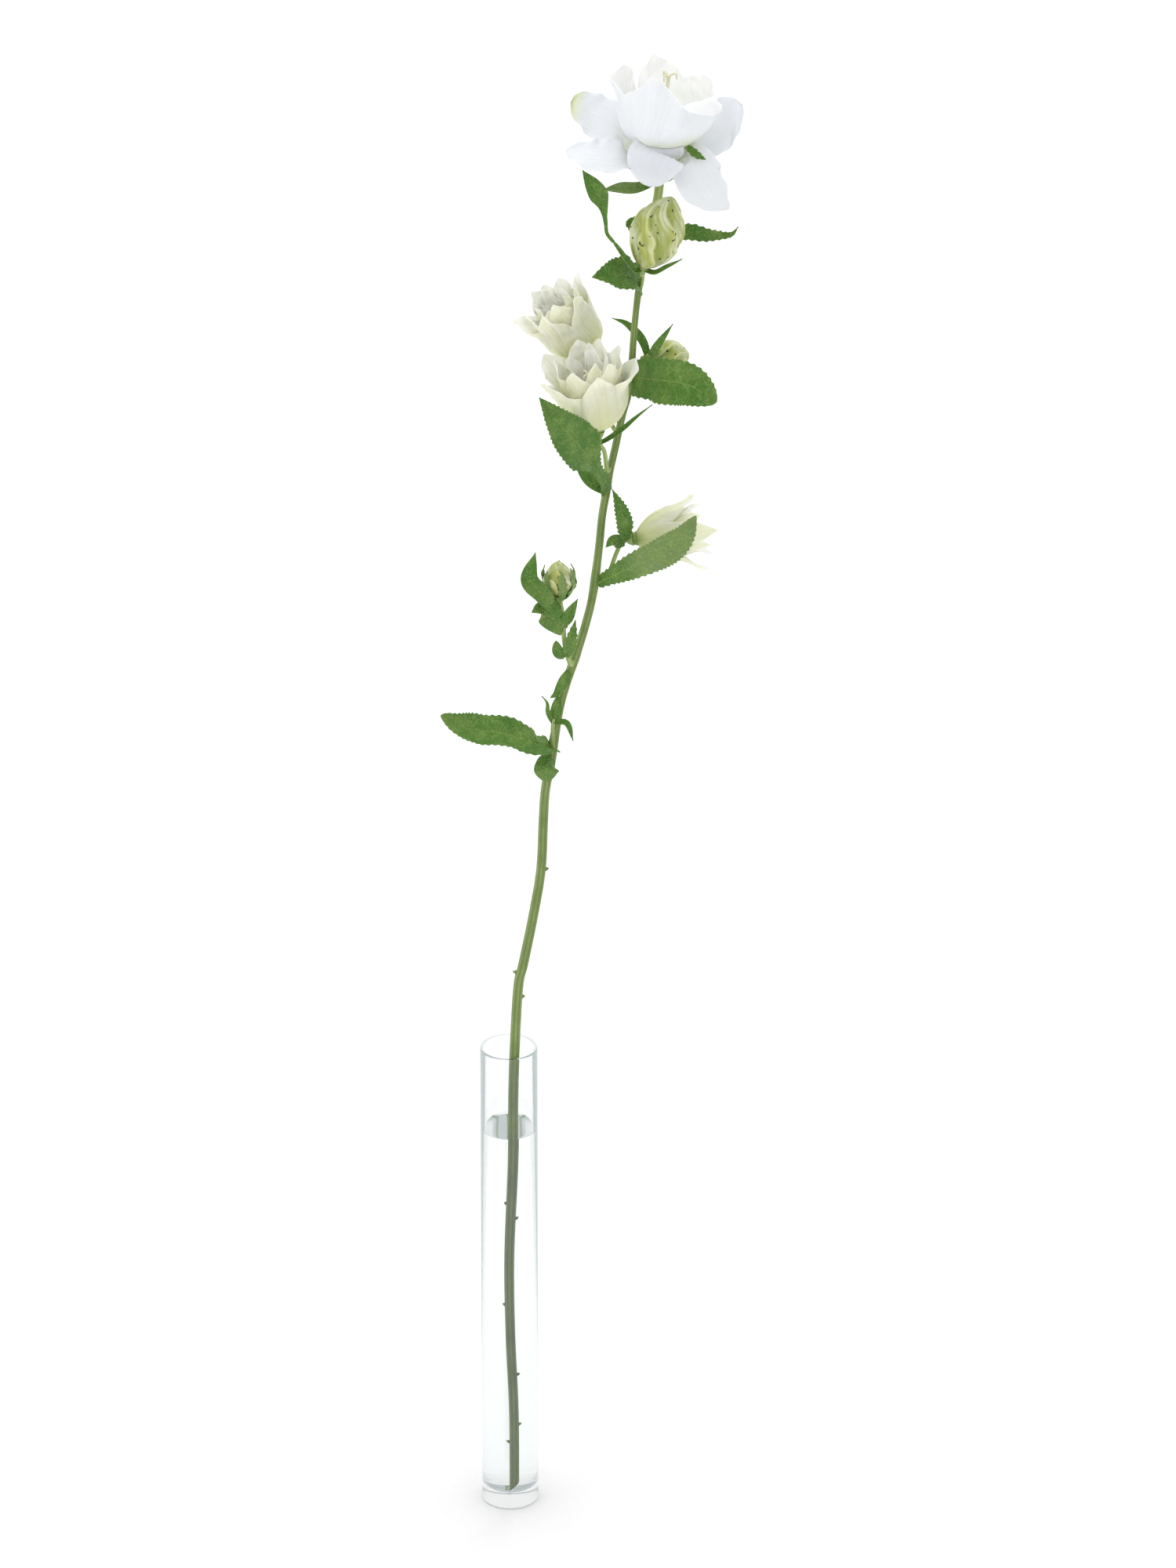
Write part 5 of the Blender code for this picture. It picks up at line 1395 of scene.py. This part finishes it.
class BELLFLOWER_OT_pistils(bpy.types.Operator):
    """Stand a style with curled stigma lobes in each bloom"""

    bl_idname = "bellflower.pistils"
    bl_label = "Pistils"

    def execute(self, context):
        for bloom in BLOOMS:
            span, axis, first, other = axis_frame(bloom.base, bloom.mouth)
            foot = Vector(bloom.base) + axis * (bloom.core_height + TOUCH_GAP)
            top = Vector(bloom.style_tip or Vector(bloom.base) + axis * span * STYLE_SHARE)
            path = [foot.lerp(top, i / 24) for i in range(25)]
            radii = [STYLE_RADIUS * (1 + 0.3 * (1 - i / 24) + 0.25 * (i / 24) ** 4) for i in range(25)]
            parts = [sweep("style", path, radii, style_face(), 20)]
            for i in range(STIGMA_LOBES):
                angle = 2 * math.pi * i / STIGMA_LOBES
                out = (first * math.cos(angle) + other * math.sin(angle)) * STIGMA_REACH
                rise = axis * STIGMA_REACH
                line = smooth_path([top - axis * STYLE_RADIUS, top + rise * 0.6 + out * 0.35,
                                    top + rise * 0.7 + out, top + out * 1.1], 24)
                widths = [STYLE_RADIUS * 0.75 * math.sqrt(1 - 0.75 * (j / 24) ** 6) for j in range(25)]
                parts.append(sweep("stigma", line, widths, style_face(), 14))
            hand_over(joined(bloom.name + "_pistil_look", parts), "style", bloom.name + "_pistil")
        return {"FINISHED"}


class BELLFLOWER_OT_stalks(bpy.types.Operator):
    """Carry each bloom and bud on its green cup, pedicel and bracts"""

    bl_idname = "bellflower.stalks"
    bl_label = "Flower stalks"

    def execute(self, context):
        for bloom in BLOOMS:
            axis = axis_frame(bloom.base, bloom.mouth)[1]
            stalk_look(bloom.name + "_stalk", bloom.base, axis, bloom.stalk, bloom.bracts, bloom.stalk_radius)
        for bud in BUDS:
            if bud.stalk:
                stalk_look(bud.name + "_stalk", bud.base, axis_frame(bud.base, bud.tip)[1], bud.stalk, bud.bracts)
        return {"FINISHED"}


class BELLFLOWER_OT_buds(bpy.types.Operator):
    """Close each bud in five pleats"""

    bl_idname = "bellflower.buds"
    bl_label = "Buds"

    def execute(self, context):
        for bud in BUDS:
            hand_over(bud_look(bud), "bud", bud.name + "_petals")
        return {"FINISHED"}


class BELLFLOWER_OT_hairs(bpy.types.Operator):
    """Scatter short stiff hairs over the stem above the water"""

    bl_idname = "bellflower.hairs"
    bl_label = "Hairs"

    def execute(self, context):
        sizes = context.scene.bellflower_stem
        hairs = add_object("stem_hairs", bpy.data.objects["stem_look"].data.copy())
        run_tree(hairs, hair_tree(), {
            "Density": sizes.hairs * 10000.0, "Length": sizes.hair_length, "Radius": 0.00005,
            "Lowest": context.scene.bellflower_vase.height, "Finish": hair_face()})
        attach(hairs, "root")
        return {"FINISHED"}


# The stage: the photograph's camera, a pale floor and soft light
CAMERA_PLACE = (0.0468, -5.7087, 3.2743)
CAMERA_DOWN = math.radians(26.1)
CAMERA_LENS = 250.0
FLOOR_SIZE = 40.0
FLOOR_HEIGHT = -0.0005
SKY_STRENGTH = 0.9
SOFT_LIGHTS = (
    ("overhead", (-0.8, 0.7, 5.0), 3.0, 22.0),
    ("window", (-2.2, -1.2, 2.4), 1.2, 8.0),
    ("back", (0.9, 2.6, 2.4), 1.5, 28.0),
)


class BELLFLOWER_OT_stage(bpy.types.Operator):
    """Set the camera, the pale floor, the soft lights and the sky"""

    bl_idname = "bellflower.stage"
    bl_label = "Stage"

    def execute(self, context):
        scene = context.scene
        camera = add_object("camera", bpy.data.cameras.new("camera"))
        camera.location = CAMERA_PLACE
        camera.rotation_euler = (math.pi / 2 - CAMERA_DOWN, 0.0, 0.0)
        camera.data.lens = CAMERA_LENS
        camera.data.clip_end = 100.0
        scene.camera = camera
        self.lay_floor()
        for name, place, size, power in SOFT_LIGHTS:
            lamp = bpy.data.lights.new(name, "AREA")
            lamp.size = size
            lamp.energy = power
            light = add_object(name, lamp)
            light.location = place
            light.visible_transmission = False
            light.visible_glossy = False
            light.rotation_euler = (Vector((0.05, 0.0, 0.5)) - light.location).to_track_quat("-Z", "Y").to_euler()
        sky = bpy.data.worlds.new("white studio")
        sky.use_nodes = True
        sky.node_tree.nodes["Background"].inputs["Color"].default_value = (1.0, 1.0, 1.0, 1.0)
        sky.node_tree.nodes["Background"].inputs["Strength"].default_value = SKY_STRENGTH
        scene.world = sky
        scene.view_settings.view_transform = "Standard"
        return {"FINISHED"}

    def lay_floor(self):
        """A matt white sheet, with a hint of paper grain."""
        finish, tree, shader = new_finish("white studio paper", Roughness=0.9)
        shade = grain(tree, 4)
        tree.links.new(mix(tree, shade, linear("F6F6F6"), linear("FAFAFA")), shader.inputs["Base Color"])
        work = bmesh.new()
        bmesh.ops.create_grid(work, x_segments=1, y_segments=1, size=FLOOR_SIZE / 2)
        bmesh.ops.translate(work, vec=(0.0, 0.0, FLOOR_HEIGHT), verts=work.verts)
        mesh = bpy.data.meshes.new("floor")
        work.to_mesh(mesh)
        work.free()
        mesh.materials.append(finish)
        add_object("floor", mesh)


OPERATORS = (
    BELLFLOWER_OT_stage,
    BELLFLOWER_OT_vase,
    BELLFLOWER_OT_water,
    BELLFLOWER_OT_stem,
    BELLFLOWER_OT_leaves,
    BELLFLOWER_OT_shoots,
    BELLFLOWER_OT_stalks,
    BELLFLOWER_OT_blooms,
    BELLFLOWER_OT_pistils,
    BELLFLOWER_OT_buds,
    BELLFLOWER_OT_hairs,
)


class BELLFLOWER_PT_pieces(bpy.types.Panel):
    """The pieces of the bellflower, in the order they are made"""

    bl_idname = "BELLFLOWER_PT_pieces"
    bl_label = "Bellflower in vase"
    bl_space_type = "VIEW_3D"
    bl_region_type = "UI"
    bl_category = "Bellflower"

    def draw(self, context):
        for group in GROUPS:
            box = self.layout.box()
            box.label(text=group.split("_")[1].capitalize())
            settings = getattr(context.scene, group)
            for name in settings.__annotations__:
                box.prop(settings, name)
        for operator in OPERATORS:
            self.layout.operator(operator.bl_idname)


def register():
    for group in GROUPS.values():
        bpy.utils.register_class(group)
    for name, group in GROUPS.items():
        setattr(bpy.types.Scene, name, bpy.props.PointerProperty(type=group))
    for operator in OPERATORS:
        bpy.utils.register_class(operator)
    bpy.utils.register_class(BELLFLOWER_PT_pieces)


def unregister():
    bpy.utils.unregister_class(BELLFLOWER_PT_pieces)
    for operator in reversed(OPERATORS):
        bpy.utils.unregister_class(operator)
    for name, group in GROUPS.items():
        delattr(bpy.types.Scene, name)
        bpy.utils.unregister_class(group)


def main():
    register()
    for operator in OPERATORS:
        family, name = operator.bl_idname.split(".")
        getattr(getattr(bpy.ops, family), name)()


if __name__ == "__main__":
    main()
